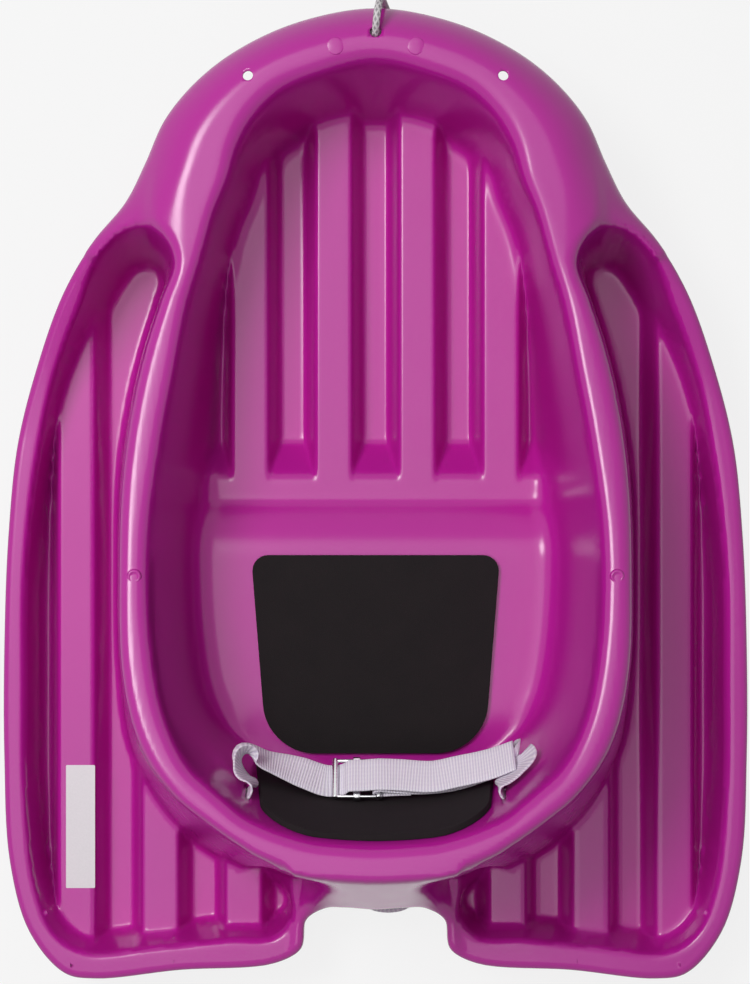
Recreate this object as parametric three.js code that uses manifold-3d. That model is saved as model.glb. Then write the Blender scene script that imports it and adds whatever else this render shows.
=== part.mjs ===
// A toddler sled: one thin moulded hull with a tub, two wings and a nose deck, two foam pads,
// a webbing belt with a slide buckle, and a tow rope. Millimetres, +Z up, +Y towards the nose.
import * as THREE from 'three';
import { mergeVertices } from 'three/addons/utils/BufferGeometryUtils.js';
import Module from 'manifold-3d';

const wasm = await Module();
wasm.setup();

// Driving dimensions
const sledLength = 682;
const sledWidth = 530;
const wall = 3;
const noseLipHeight = 112;
const wingLipHeight = 58;
const frontRimHeight = 135;
const backRimHeight = 205;
const ridgeHeight = 28;
const seatFrontHeight = 46;
const seatBackHeight = 40;
const gap = 0.3;

// Hull edges
const skirtDepth = 16;
const lipInset = 8;
const lipRoll = 6;
const rimRoll = 10;
const rimOverhang = 1.5;
const tubFillet = 12;
const pocketFillet = 5;
const overrun = 30;
const cutTop = backRimHeight + overrun;

// Webbing, foam and rope
const webbingWidth = 25;
const webbingThickness = 1.6;
const slotPlay = 4;
const slotLength = webbingWidth + slotPlay;
const slotWidth = 7;
const foamThickness = 4;
const padWidth = 178;
const padSetback = 6.2;
const padRearClearance = 27;
const padNarrowing = 11;
const padFrontCorner = 12;
const padBackCorner = 34;
const ropeDiameter = 5;
const ropeHole = 8;
const deckHole = 7;

const halfWidth = sledWidth / 2;
const loopSteps = 2;

// A place in plan: a share of the half width across, and a share of the length from the tail.
const plan = ([across, along]) => new THREE.Vector2(across * halfWidth, (along - 0.5) * sledLength);

// Rows from the middle of the nose round to the middle of the notch at the back. The four tables
// match row by row: outline, outer edge of the rim, inner edge of the rim, foot of the tub.
const outlineShares = [
  [0, 1], [0.202, 0.986], [0.36, 0.958], [0.468, 0.926], [0.551, 0.887], [0.604, 0.843],
  [0.657, 0.805], [0.743, 0.767], [0.83, 0.715], [0.906, 0.642], [0.962, 0.563], [0.989, 0.463],
  [1, 0.346], [1, 0.234], [0.985, 0.123], [0.932, 0.049], [0.838, 0.006], [0.755, 0],
  [0.528, 0.009], [0.272, 0.016], [0.2, 0.032], [0.186, 0.062], [0.13, 0.076], [0, 0.075],
];
const rimOuterShares = [
  [0, 0.985], [0.192, 0.972], [0.34, 0.947], [0.438, 0.917], [0.517, 0.879], [0.562, 0.837],
  [0.566, 0.8], [0.535, 0.748], [0.566, 0.7], [0.608, 0.634], [0.642, 0.563], [0.657, 0.463],
  [0.655, 0.363], [0.63, 0.293], [0.574, 0.228], [0.506, 0.194], [0.453, 0.175], [0.392, 0.16],
  [0.302, 0.147], [0.226, 0.141], [0.174, 0.137], [0.135, 0.1355], [0.08, 0.134], [0, 0.134],
];
const rimInnerShares = [
  [0, 0.939], [0.143, 0.926], [0.242, 0.909], [0.309, 0.883], [0.347, 0.856], [0.374, 0.822],
  [0.408, 0.79], [0.442, 0.743], [0.479, 0.695], [0.509, 0.632], [0.54, 0.563], [0.57, 0.463],
  [0.562, 0.363], [0.532, 0.287], [0.479, 0.237], [0.423, 0.215], [0.381, 0.202], [0.34, 0.189],
  [0.264, 0.18], [0.196, 0.175], [0.151, 0.172], [0.117, 0.171], [0.07, 0.17], [0, 0.169],
];
const tubFootShares = [
  [0, 0.91], [0.136, 0.903], [0.219, 0.887], [0.275, 0.871], [0.319, 0.848], [0.347, 0.824],
  [0.377, 0.795], [0.404, 0.746], [0.423, 0.695], [0.436, 0.632], [0.449, 0.563], [0.466, 0.463],
  [0.464, 0.363], [0.442, 0.302], [0.4, 0.269], [0.355, 0.25], [0.317, 0.239], [0.272, 0.23],
  [0.211, 0.225], [0.155, 0.222], [0.117, 0.22], [0.09, 0.22], [0.054, 0.219], [0, 0.219],
];
// How far the deck climbs to the rim in one sweep: 1 on the nose and over the notch, 0 on a wing.
const sweepShares = [1, 1, 1, 1, 1, 1, 0.9, 0.6, 0, 0, 0, 0, 0, 0, 0, 0, 0, 0, 0, 0, 0, 0.5, 1, 1];
// The mouth of the right wing's pocket, from the shoulder along the lip and back along the rim, the foot
// of its walls row by row, and how far each row rises from lip height to rim height.
const pocketMouthShares = [
  [0.736, 0.748], [0.781, 0.707], [0.86, 0.627], [0.909, 0.536], [0.937, 0.428], [0.94, 0.307],
  [0.938, 0.197], [0.913, 0.099], [0.862, 0.049], [0.781, 0.029], [0.6, 0.034], [0.4, 0.042],
  [0.272, 0.045], [0.23, 0.064], [0.228, 0.087], [0.242, 0.138], [0.317, 0.15], [0.415, 0.166],
  [0.509, 0.194], [0.604, 0.256], [0.645, 0.325], [0.657, 0.434], [0.651, 0.528], [0.626, 0.601],
  [0.594, 0.657], [0.555, 0.705], [0.526, 0.739], [0.547, 0.762], [0.6, 0.777], [0.668, 0.773],
];
const pocketFootShares = [
  [0.702, 0.734], [0.758, 0.695], [0.843, 0.624], [0.892, 0.536], [0.92, 0.428], [0.923, 0.307],
  [0.921, 0.197], [0.894, 0.102], [0.849, 0.056], [0.774, 0.037], [0.6, 0.043], [0.4, 0.051],
  [0.275, 0.054], [0.238, 0.067], [0.242, 0.08], [0.268, 0.09], [0.34, 0.102], [0.453, 0.123],
  [0.566, 0.159], [0.672, 0.234], [0.702, 0.316], [0.709, 0.434], [0.702, 0.528], [0.674, 0.605],
  [0.638, 0.664], [0.596, 0.714], [0.581, 0.736], [0.596, 0.748], [0.626, 0.753], [0.668, 0.749],
];
const pocketRiseShares = [
  0, 0, 0, 0, 0, 0, 0, 0, 0, 0, 0, 0, 0, 0, 0.1, 1, 1, 1, 1, 1, 1, 1, 1, 1, 1, 1, 1, 0.8, 0.4, 0,
];

// Small helpers

const clamp01 = (value) => Math.min(1, Math.max(0, value));
const mix = (from, to, share) => from + (to - from) * share;
const along01 = (point) => point.y / sledLength + 0.5;

// Height of the lip: level on the wings, rising over the shoulders to the nose.
function lipHeight(point) {
  const climb = clamp01((along01(point) - 0.56) / 0.34);
  return mix(wingLipHeight, noseLipHeight, climb * climb * (3 - 2 * climb));
}

// Height of the rim: level round the nose, rising steadily to the backrest.
function rimHeight(point) {
  const climb = clamp01((0.74 - along01(point)) / 0.606);
  return mix(frontRimHeight, backRimHeight, climb ** 1.35);
}

// A smooth closed curve through plan points, sampled at the same count of steps between each two.
function smoothLoop(points) {
  const flat = points.map((point) => new THREE.Vector3(point.x, point.y, 0));
  const curve = new THREE.CatmullRomCurve3(flat, true, 'centripetal');
  const count = points.length * loopSteps;
  return Array.from({ length: count }, (_, step) => {
    const at = curve.getPoint(step / count);
    return new THREE.Vector2(at.x, at.y);
  });
}

// Both halves of a row table as one closed loop, anticlockwise from the middle of the nose.
function mirroredLoop(shares) {
  const left = shares.map(([across, along]) => plan([-across, along]));
  const right = shares.slice(1, -1).reverse().map(plan);
  return smoothLoop(left.concat(right));
}

// Numbers of a row table spread over the same closed loop.
function spreadNumbers(rows) {
  return rows.flatMap((from, row) => {
    const to = rows[(row + 1) % rows.length];
    return Array.from({ length: loopSteps }, (_, step) => mix(from, to, step / loopSteps));
  });
}

// A closed loop moved inwards (or outwards, where the distance is negative) along its normals.
function insetLoop(loop, distances) {
  const turn = Math.sign(THREE.ShapeUtils.area(loop));
  return loop.map((point, index) => {
    const before = loop[(index + loop.length - 1) % loop.length];
    const after = loop[(index + 1) % loop.length];
    const first = point.clone().sub(before).normalize();
    const second = after.clone().sub(point).normalize();
    const normal = new THREE.Vector2(-(first.y + second.y), first.x + second.x).normalize();
    const square = Math.max(0.6, -first.y * normal.x + first.x * normal.y);
    const distance = Array.isArray(distances) ? distances[index] : distances;
    return point.clone().addScaledVector(normal, (turn * distance) / square);
  });
}

// Geometry and solids

function geometryFrom(positions, indices) {
  const geometry = new THREE.BufferGeometry();
  geometry.setAttribute('position', new THREE.Float32BufferAttribute(positions, 3));
  geometry.setIndex(indices);
  return geometry;
}

// A closed solid through rings of equal count, each a list of 3-D points, capped at both ends.
// The rings run anticlockwise seen from the end that the solid grows towards. A wrapped loft has
// no ends: its last ring joins its first.
function loft(rings, wrapped = false) {
  const count = rings[0].length;
  const positions = rings.flat().flatMap((point) => [point.x, point.y, point.z]);
  const indices = [];
  const spans = wrapped ? rings.length : rings.length - 1;
  for (let ring = 0; ring < spans; ring += 1) {
    const above = ((ring + 1) % rings.length) * count;
    for (let index = 0; index < count; index += 1) {
      const next = (index + 1) % count;
      const here = ring * count;
      indices.push(here + index, here + next, above + next, here + index, above + next, above + index);
    }
  }
  if (wrapped) return geometryFrom(positions, indices);
  const last = (rings.length - 1) * count;
  for (const [a, b, c] of capFaces(rings[0])) indices.push(a, c, b);
  for (const [a, b, c] of capFaces(rings[rings.length - 1])) indices.push(last + a, last + b, last + c);
  return geometryFrom(positions, indices);
}

// Triangles of a flat or nearly flat ring, in the plane that it fills most of.
function capFaces(ring) {
  const normal = new THREE.Vector3();
  ring.forEach((point, index) => normal.add(point.clone().cross(ring[(index + 1) % ring.length])));
  const facing = new THREE.Quaternion().setFromUnitVectors(normal.normalize(), new THREE.Vector3(0, 0, 1));
  const flat = ring.map((point) => {
    const turned = point.clone().applyQuaternion(facing);
    return new THREE.Vector2(turned.x, turned.y);
  });
  return THREE.ShapeUtils.triangulateShape(flat, []);
}

const ringAt = (loop, height) => loop.map((point) =>
  new THREE.Vector3(point.x, point.y, typeof height === 'function' ? height(point) : height));

function solid(geometry) {
  const plain = geometry.clone();
  plain.deleteAttribute('normal');
  plain.deleteAttribute('uv');
  const merged = mergeVertices(plain, 1e-5);
  const mesh = new wasm.Mesh({
    numProp: 3,
    vertProperties: new Float32Array(merged.attributes.position.array),
    triVerts: new Uint32Array(merged.index.array),
  });
  return new wasm.Manifold(mesh);
}

function geometryOf(manifold) {
  const mesh = manifold.getMesh();
  return geometryFrom(Array.from(mesh.vertProperties), Array.from(mesh.triVerts));
}

const union = (parts) => parts.reduce((whole, part) => whole.add(part));

// The same closed geometry with its faces turned out, whichever way its rings ran.
function outwards(geometry) {
  const corners = geometry.attributes.position;
  const at = (index) => new THREE.Vector3().fromBufferAttribute(corners, index);
  const faces = geometry.index.array;
  let volume = 0;
  for (let start = 0; start < faces.length; start += 3) {
    volume += at(faces[start]).dot(at(faces[start + 1]).cross(at(faces[start + 2])));
  }
  if (volume < 0) geometry.setIndex(Array.from(faces).reverse());
  return geometry;
}

// Closes up edges shorter than the weld: their ends become one corner, and faces that fold flat go.
const weld = 0.06;
function welded(geometry) {
  const place = geometry.attributes.position;
  const corner = (index) => new THREE.Vector3().fromBufferAttribute(place, index);
  let faces = [];
  for (let start = 0; start < geometry.index.count; start += 3) {
    faces.push([0, 1, 2].map((step) => geometry.index.getX(start + step)));
  }
  let changed = true;
  while (changed) {
    changed = false;
    const target = new Map();
    for (const face of faces) {
      face.forEach((index, step) => {
        const next = face[(step + 1) % 3];
        const free = !target.has(index) && !target.has(next);
        const kept = ![...face].some((other) => [...target.values()].includes(other));
        if (free && kept && corner(index).distanceTo(corner(next)) < weld) {
          target.set(Math.max(index, next), Math.min(index, next));
          changed = true;
        }
      });
    }
    const moved = faces.map((face) => face.map((index) => target.get(index) ?? index));
    faces = withoutFolds(moved.filter(([a, b, c]) => a !== b && b !== c && c !== a));
  }
  return geometryFrom(Array.from(place.array), faces.flat());
}

// Faces without the pairs that lie back to back on the same three corners.
function withoutFolds(faces) {
  const pairs = new Map();
  for (const face of faces) {
    const key = [...face].sort((a, b) => a - b).join(' ');
    pairs.set(key, (pairs.get(key) ?? []).concat([face]));
  }
  return [...pairs.values()].flatMap((same) => (same.length % 2 ? [same[0]] : []));
}

// Skins that cross at a shallow angle leave slivers; the moulding is the one large body.
function largestBody(manifold) {
  return manifold.decompose().reduce((best, body) => (body.volume() > best.volume() ? body : best));
}

// An extrusion of a profile drawn in (across, up), running along Y between two places.
function barAlongY(shape, from, to) {
  const geometry = new THREE.ExtrudeGeometry(shape, { depth: to - from, bevelEnabled: false });
  geometry.rotateX(Math.PI / 2);
  geometry.translate(0, to, 0);
  return geometry;
}

// An extrusion of a profile drawn in (along Y, up), centred across X.
function barAlongX(shape, width) {
  const geometry = new THREE.ExtrudeGeometry(shape, { depth: width, bevelEnabled: false });
  const turn = new THREE.Matrix4().makeBasis(
    new THREE.Vector3(0, 1, 0), new THREE.Vector3(0, 0, 1), new THREE.Vector3(1, 0, 0));
  geometry.applyMatrix4(turn);
  geometry.translate(-width / 2, 0, 0);
  return geometry;
}

// Hull

const outlineLoop = mirroredLoop(outlineShares);
const rimOuterLoop = mirroredLoop(rimOuterShares);
const rimInnerLoop = mirroredLoop(rimInnerShares);
const tubFootLoop = mirroredLoop(tubFootShares);
const sweepLoop = spreadNumbers(sweepShares.concat(sweepShares.slice(1, -1).reverse()));

// The solid under the top skin of deck, lip and rim, drawn in by a skin's thickness where asked.
function deckSolid(skin, bottom) {
  const edge = insetLoop(outlineLoop, skin);
  const crestInset = sweepLoop.map((sweep) => skin + mix(lipInset, lipRoll / 2, sweep));
  const crest = insetLoop(outlineLoop, crestInset);
  const lip = (point) => lipHeight(point) - skin;
  const rim = (point) => rimHeight(point) - skin;
  const rimEdge = insetLoop(rimOuterLoop, -rimOverhang);
  const between = (share) => rimOuterLoop.map((point, index) => point.clone().lerp(rimInnerLoop[index], share));
  const wallTop = rimOuterLoop.map((point, index) => {
    const place = point.clone().lerp(outlineLoop[index], 0.5);
    const climb = sweepLoop[index] * 0.5;
    return new THREE.Vector3(place.x, place.y, mix(lip(place), rim(place) - lipInset, climb));
  });
  const bowl = insetLoop(rimInnerLoop, tubFillet);
  return solid(loft([
    ringAt(edge, bottom),
    ringAt(edge, (point) => lip(point) - lipRoll),
    ringAt(crest, lip),
    wallTop,
    ringAt(rimEdge, (point) => rim(point) - rimRoll * 0.8),
    ringAt(between(0.16), (point) => rim(point) - rimRoll * 0.25),
    ringAt(between(0.48), rim),
    ringAt(between(0.82), (point) => rim(point) - rimRoll * 0.25),
    ringAt(insetLoop(rimInnerLoop, rimOverhang), (point) => rim(point) - rimRoll),
    ringAt(bowl, (point) => rim(point) - rimRoll * 3),
  ]));
}

// Rings of the tub's hollow, grown by a skin's thickness where asked.
function tubHollow(skin) {
  const foot = insetLoop(tubFootLoop, -skin);
  const floor = wall - skin;
  const mouth = insetLoop(rimInnerLoop, -skin);
  return solid(loft([
    ringAt(insetLoop(foot, tubFillet), floor),
    ringAt(insetLoop(foot, tubFillet * 0.3), floor + tubFillet * 0.3),
    ringAt(foot, floor + tubFillet),
    ringAt(mouth, (point) => rimHeight(point) - rimRoll),
    ringAt(mouth, cutTop),
  ]));
}

// The hollow of one wing's pocket, grown by a skin's thickness where asked.
function pocketHollow(skin, side) {
  const mirrored = (shares) => shares.map(([across, along]) => plan([side * across, along]));
  const order = (ring) => (side > 0 ? ring.slice().reverse() : ring);
  const mouth = insetLoop(smoothLoop(mirrored(pocketMouthShares)), -skin);
  const foot = insetLoop(smoothLoop(mirrored(pocketFootShares)), -skin);
  const rises = spreadNumbers(pocketRiseShares);
  const level = mouth.map((point, index) => new THREE.Vector3(point.x, point.y,
    mix(lipHeight(point) + rimOverhang, rimHeight(point) - rimRoll, rises[index])));
  const floor = wall - skin;
  return solid(loft([
    order(ringAt(insetLoop(foot, pocketFillet), floor)),
    order(ringAt(foot, floor + pocketFillet)),
    order(level),
    order(ringAt(mouth, cutTop)),
  ]));
}

// A raised ridge along Y, drawn in by a skin's thickness where asked. Its sides run on below the
// floor that it stands on.
const ridgeTopWidth = 27;
const ridgeSlope = 7;
const ridgeBevel = 2;
function ridgeSolid(skin, centre, from, to) {
  const top = ridgeHeight - skin;
  const half = ridgeTopWidth / 2 - skin;
  const foot = half + ridgeSlope;
  const shape = new THREE.Shape();
  shape.moveTo(-foot, -overrun);
  shape.lineTo(foot, -overrun);
  shape.lineTo(foot, -skin);
  shape.lineTo(half + ridgeBevel / 2, top - ridgeBevel);
  shape.lineTo(half - ridgeBevel / 2, top);
  shape.lineTo(-half + ridgeBevel / 2, top);
  shape.lineTo(-half - ridgeBevel / 2, top - ridgeBevel);
  shape.lineTo(-foot, -skin);
  return solid(barAlongY(shape, from, to)).translate(centre, 0, 0);
}

// The seat with its front step: one side profile across the tub.
const stepFootShare = 0.562;
const seatFrontShare = stepFootShare - 0.11;
const seatBackShare = 0.195;
const padLength = (seatFrontShare - seatBackShare) * sledLength - padSetback - padRearClearance;
const seatProfileShares = [
  [stepFootShare, 0, 0], [stepFootShare - 0.036, 1, 0], [stepFootShare - 0.062, 1, 0],
  [stepFootShare - 0.08, 1, 0.45], [stepFootShare - 0.097, 1, 0.9], [seatFrontShare, 1, 1],
];
const alongAt = (share) => (share - 0.5) * sledLength;
function seatSolid(skin) {
  const shape = new THREE.Shape();
  const back = alongAt(seatBackShare);
  shape.moveTo(back, -overrun);
  shape.lineTo(alongAt(stepFootShare) - skin, -overrun);
  seatProfileShares.forEach(([along, ridge, seat], index) => {
    const up = mix(ridge * ridgeHeight, seatFrontHeight, seat) - skin;
    shape.lineTo(alongAt(along) - (index < 2 ? skin : 0), up);
  });
  shape.lineTo(back, seatBackHeight - skin);
  return solid(barAlongX(shape, sledWidth * 0.51));
}

const ridgePitch = 60.5;
const wingRidgeOffset = 216.3;
const floorRidgeCentres = [-1.5, -0.5, 0.5, 1.5].map((share) => share * ridgePitch);
// Each pocket ridge runs from the tail to a place just behind the wall that it dies into.
const pocketRidgeEndShares = [0.8, 0.22, 0.14];
const pocketRidges = (skin, side) => union(pocketRidgeEndShares.map((end, index) =>
  ridgeSolid(skin, side * (wingRidgeOffset - index * ridgePitch), alongAt(0.012), alongAt(end))));
const floorRidges = (skin) => union(floorRidgeCentres.map((centre) =>
  ridgeSolid(skin, centre, alongAt(stepFootShare - 0.04), alongAt(0.94))));

// A round cutter standing at a place in plan.
function uprightCutter(place, diameter, from, to) {
  const geometry = new THREE.CylinderGeometry(diameter / 2, diameter / 2, to - from, 16);
  geometry.rotateX(Math.PI / 2);
  geometry.translate(place.x, place.y, (from + to) / 2);
  return solid(geometry);
}

// Places on the backrest: the tub's rear wall, straight from its foot to the rim's inner edge.
const footLevel = wall + tubFillet;
function backrestAt(across, up) {
  const reach = Math.abs(across);
  const onWall = (index) => {
    const rise = (up - footLevel) / (rimHeight(rimInnerLoop[index]) - rimRoll - footLevel);
    return tubFootLoop[index].clone().lerp(rimInnerLoop[index], rise);
  };
  let index = tubFootLoop.length / 2;
  while (Math.abs(onWall(index - 1).x) < reach) index -= 1;
  const near = onWall(index);
  const far = onWall(index - 1);
  const share = (reach - Math.abs(near.x)) / (Math.abs(far.x) - Math.abs(near.x));
  return new THREE.Vector3(across, mix(near.y, far.y, share), up);
}

// Facing out of the backrest, towards the child.
function backrestNormal(across, up) {
  const reach = webbingWidth / 5;
  const side = backrestAt(across + reach, up).sub(backrestAt(across - reach, up));
  const rise = backrestAt(across, up + reach).sub(backrestAt(across, up - reach));
  return rise.cross(side).normalize();
}

// Up the backrest.
const backrestRise = (across, up) =>
  backrestAt(across, up + wall).sub(backrestAt(across, up)).normalize();

// Belt slots, upright in the backrest beside the back pad
const slotReach = padWidth / 2;
const slotHeight = 138;
function slotCutter(side) {
  const across = side * slotReach;
  const centre = backrestAt(across, slotHeight);
  const normal = backrestNormal(across, slotHeight);
  const rise = backrestRise(across, slotHeight);
  const geometry = new THREE.BoxGeometry(slotWidth, slotLength, 5 * wall);
  geometry.applyMatrix4(new THREE.Matrix4().makeBasis(rise.clone().cross(normal), rise, normal));
  geometry.translate(centre.x, centre.y, centre.z);
  return solid(geometry);
}

// What is cut away under the outer edge, so that the lip ends in a short skirt.
function skirtCutter() {
  const outside = insetLoop(outlineLoop, -overrun);
  const inside = insetLoop(outlineLoop, 2 * wall);
  const edge = (point) => lipHeight(point) - skirtDepth;
  return solid(loft([
    ringAt(outside, edge),
    ringAt(inside, edge),
    ringAt(inside, -2 * overrun),
    ringAt(outside, -2 * overrun),
  ], true));
}

const ropeHolePlace = plan([0, 0.97]);
const deckHolePlaces = [-1, 1].map((side) => plan([side * 0.329, 0.926]));
const dimplePlaces = [-1, 1].map((side) => plan([side * 0.612, 0.426]));

function hullGeometry() {
  const deck = deckSolid(0, -overrun);
  const insideDeck = deckSolid(wall, -2 * overrun);
  const sides = [-1, 1];
  const skins = union([...sides.map((side) => pocketHollow(wall, side)), tubHollow(wall)]);
  const pocketsIn = union(sides.map((side) => pocketHollow(0, side).subtract(pocketRidges(0, side))));
  const tubIn = tubHollow(0).subtract(floorRidges(0)).subtract(seatSolid(0));
  const underRidges = union([
    ...sides.map((side) => pocketRidges(wall, side)), floorRidges(wall), seatSolid(wall),
  ]);
  let hull = deck.subtract(insideDeck.subtract(skins));
  hull = hull.subtract(pocketsIn).subtract(tubIn).subtract(underRidges).subtract(skirtCutter());
  const cutters = [
    uprightCutter(ropeHolePlace, ropeHole, noseLipHeight - skirtDepth, cutTop),
    ...deckHolePlaces.map((place) => uprightCutter(place, deckHole, noseLipHeight, cutTop)),
    ...dimplePlaces.map((place) => uprightCutter(place, deckHole, rimHeight(place) - wall / 2, cutTop)),
    slotCutter(-1),
    slotCutter(1),
  ];
  return welded(geometryOf(largestBody(hull.subtract(union(cutters)))));
}

// Foam pads

// The pad's rows from its wide edge to its round edge: how far along, and half as wide.
function padRows() {
  const halfAt = (along) => padWidth / 2 - (padNarrowing * along) / padLength;
  const corner = (radius, turn, fromEnd) => {
    const inward = radius * (1 - Math.cos(turn));
    const along = fromEnd ? padLength - inward : inward;
    return { along, half: halfAt(along) - radius * (1 - Math.sin(turn)) };
  };
  const turns = [0, 1, 2, 3, 4].map((step) => (step * Math.PI) / 8);
  const middle = [0.3, 0.5].map((share) => ({ along: share * padLength, half: halfAt(share * padLength) }));
  return [
    ...turns.map((turn) => corner(padFrontCorner, turn, false)),
    ...middle,
    ...turns.reverse().map((turn) => corner(padBackCorner, turn, true)),
  ];
}

// A pad lying on a surface, which gives a point for a place across, a place along and a lift.
const padColumns = 8;
function padGeometry(surface) {
  const columns = Array.from({ length: padColumns + 1 }, (_, step) => (2 * step) / padColumns - 1);
  const rings = padRows().map(({ along, half }) => [
    ...columns.map((share) => surface(share * half, along, gap)),
    ...columns.slice().reverse().map((share) => surface(share * half, along, gap + foamThickness)),
  ]);
  return outwards(loft(rings));
}

function seatSurface(across, along, lift) {
  const front = new THREE.Vector3(0, alongAt(seatFrontShare), seatFrontHeight);
  const run = new THREE.Vector3(0, alongAt(seatBackShare), seatBackHeight).sub(front).normalize();
  const normal = new THREE.Vector3(0, run.z, -run.y);
  const place = front.addScaledVector(run, padSetback + along).addScaledVector(normal, lift);
  return place.setX(across);
}

const backPadFootHeight = 48;
const backPadWrap = 0.97;
function backrestSurface(across, along, lift) {
  const up = backPadFootHeight + along * backrestRise(0, slotHeight).z;
  const place = backrestAt(across * backPadWrap, up);
  return place.addScaledVector(backrestNormal(across * backPadWrap, up), lift + gap);
}

// Belt and buckle

const buckleShares = [-0.049, 0.730, 0.542];
const buckleTilt = Math.atan(0.75);
const barDiameter = 4.5;
const railDiameter = 2.4;
const barReach = 15;
const strapPlay = 0.5;
const railReach = webbingWidth / 2 + strapPlay + railDiameter / 2;
const eyeClearance = 0.35;
const eyeWall = 1.2;
const eyeLength = 5;
const eyeDiameter = railDiameter + 2 * (eyeClearance + eyeWall);

// A place before the backrest: shares of the half width across, of the webbing's width out from the
// backrest, and of the back rim's height up. Behind it, the second is a share of the length.
function before([across, out, up]) {
  const place = backrestAt(across * halfWidth, up * backRimHeight);
  return place.setY(place.y + out * webbingWidth);
}
const behind = ([across, along, up]) =>
  new THREE.Vector3(across * halfWidth, alongAt(along), up * backRimHeight);
const buckleCentre = before(buckleShares);
const buckleTurn = new THREE.Matrix4().makeRotationX(-buckleTilt).setPosition(buckleCentre);

// A round bar between two places in the buckle's own frame.
function buckleRod(diameter, from, to) {
  const length = from.distanceTo(to);
  const geometry = new THREE.CylinderGeometry(diameter / 2, diameter / 2, length, 16);
  const turn = new THREE.Quaternion().setFromUnitVectors(
    new THREE.Vector3(0, 1, 0), to.clone().sub(from).normalize());
  geometry.applyQuaternion(turn);
  const middle = from.clone().add(to).multiplyScalar(0.5);
  return solid(geometry.translate(middle.x, middle.y, middle.z));
}

function buckleFrameGeometry() {
  const sides = [-1, 1];
  const barHalf = railReach + railDiameter / 2;
  const bars = sides.map((side) => buckleRod(barDiameter,
    new THREE.Vector3(side * barReach, -barHalf, 0), new THREE.Vector3(side * barReach, barHalf, 0)));
  const rails = sides.map((side) => buckleRod(railDiameter,
    new THREE.Vector3(-barReach, side * railReach, 0), new THREE.Vector3(barReach, side * railReach, 0)));
  return geometryOf(union([...bars, ...rails]).transform(buckleTurn.elements));
}

// The floating bar: a flat bar with an eye round each rail.
function buckleBarGeometry() {
  const sides = [-1, 1];
  const eyeHalf = eyeLength / 2;
  const rod = (diameter, side, half) => buckleRod(diameter,
    new THREE.Vector3(-half, side * railReach, 0), new THREE.Vector3(half, side * railReach, 0));
  const eyes = sides.map((side) => rod(eyeDiameter, side, eyeHalf));
  const bores = sides.map((side) => rod(railDiameter + 2 * eyeClearance, side, eyeLength));
  const flat = solid(new THREE.BoxGeometry(eyeLength, 2 * railReach, railDiameter));
  const bar = union([flat, ...eyes]).subtract(union(bores));
  return geometryOf(bar.transform(buckleTurn.elements));
}

// Where the webbing runs in the buckle's own frame: along the strap, and up from the rails.
const strapLift = webbingThickness / 2 + gap;
const overBar = barDiameter / 2 + strapLift;
const overEye = eyeDiameter / 2 + strapLift + gap;
const sewnRun = 1.5 * barReach;
const wrapTurns = [-0.5, -0.75, -1, -1.25, -1.5].map((share) => share * Math.PI);
const sewnLoop = [
  [barReach + sewnRun, -0.45 * overBar], [barReach + sewnRun * 0.65, -0.55 * overBar],
  [barReach + sewnRun * 0.3, -0.75 * overBar],
  ...wrapTurns.map((turn) => [barReach + overBar * Math.cos(turn), overBar * Math.sin(turn)]),
  [barReach + sewnRun * 0.3, 0.65 * overBar], [barReach + sewnRun * 0.65, 0.3 * overBar],
];
const throughBuckle = [
  [-barReach - sewnRun * 0.35, -0.65 * overBar], [-barReach, -overBar],
  [-barReach * 0.62, -0.3 * overBar], [-barReach * 0.36, 0.85 * overEye], [-barReach * 0.2, overEye],
  [barReach * 0.3, overEye * 1.08], [barReach, 2 * strapLift + overBar + gap],
  [barReach + sewnRun * 0.6, overBar + 2 * strapLift * 0.8],
];
const strapAcross = new THREE.Vector3(0, 1, 0).transformDirection(buckleTurn);
const inBuckle = ([along, up]) => ({
  at: new THREE.Vector3(along, 0, up).applyMatrix4(buckleTurn), across: strapAcross,
});

// The free stretches, each row a place and the way that the webbing faces across.
const rightFrontShares = [
  [0.125, 0.68, 0.537, 0, 0.8, -0.6], [0.2, 0.641, 0.53, 0, 0.8, -0.6],
  [0.29, 0.61, 0.533, 0, 0.72, -0.7], [0.348, 0.448, 0.556, -0.15, 0.45, -0.88],
  [0.378, 0.389, 0.59, -0.4, 0.15, -0.9], [0.391, 0.26, 0.638, -0.64, -0.19, -0.75],
  [0.366, 0.23, 0.663, -0.3, 0, -0.95],
];
const behindShares = [
  [0.34, 0.178, 0.624, -0.2, 0.6, -0.77], [0.294, 0.158, 0.512, -0.35, 0.8, -0.5],
  [0.226, 0.14, 0.371, -0.3, 0.93, -0.2], [0.158, 0.12, 0.254, -0.15, 0.98, -0.1],
  [0.106, 0.102, 0.185, 0, 1, 0], [0.06, 0.0835, 0.151, 0, 1, 0], [0.008, 0.0835, 0.151, 0, 1, 0],
  [-0.045, 0.101, 0.18, 0, 1, 0], [-0.113, 0.117, 0.244, 0.15, 0.98, -0.1],
  [-0.196, 0.137, 0.351, 0.3, 0.93, -0.2], [-0.272, 0.157, 0.498, 0.35, 0.8, -0.5],
  [-0.332, 0.178, 0.624, 0.2, 0.6, -0.77],
];
const leftFrontShares = [
  [-0.353, 0.318, 0.654, 0.15, 0.1, -0.98], [-0.362, 0.51, 0.62, 0.1, 0.1, -0.99],
  [-0.344, 0.779, 0.585, 0.15, 0.15, -0.97], [-0.283, 0.926, 0.553, 0.22, 0.33, -0.92],
  [-0.234, 0.848, 0.544, 0.1, 0.6, -0.79], [-0.19, 0.755, 0.54, 0, 0.77, -0.64],
];
const tailShares = [
  [0.147, 0.787, 0.567, 0, 0.8, -0.6], [0.208, 0.838, 0.576, 0, 0.8, -0.6],
  [0.294, 0.914, 0.602, 0, 0.78, -0.62], [0.358, 0.86, 0.63, 0.05, 0.76, -0.65],
];
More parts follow.
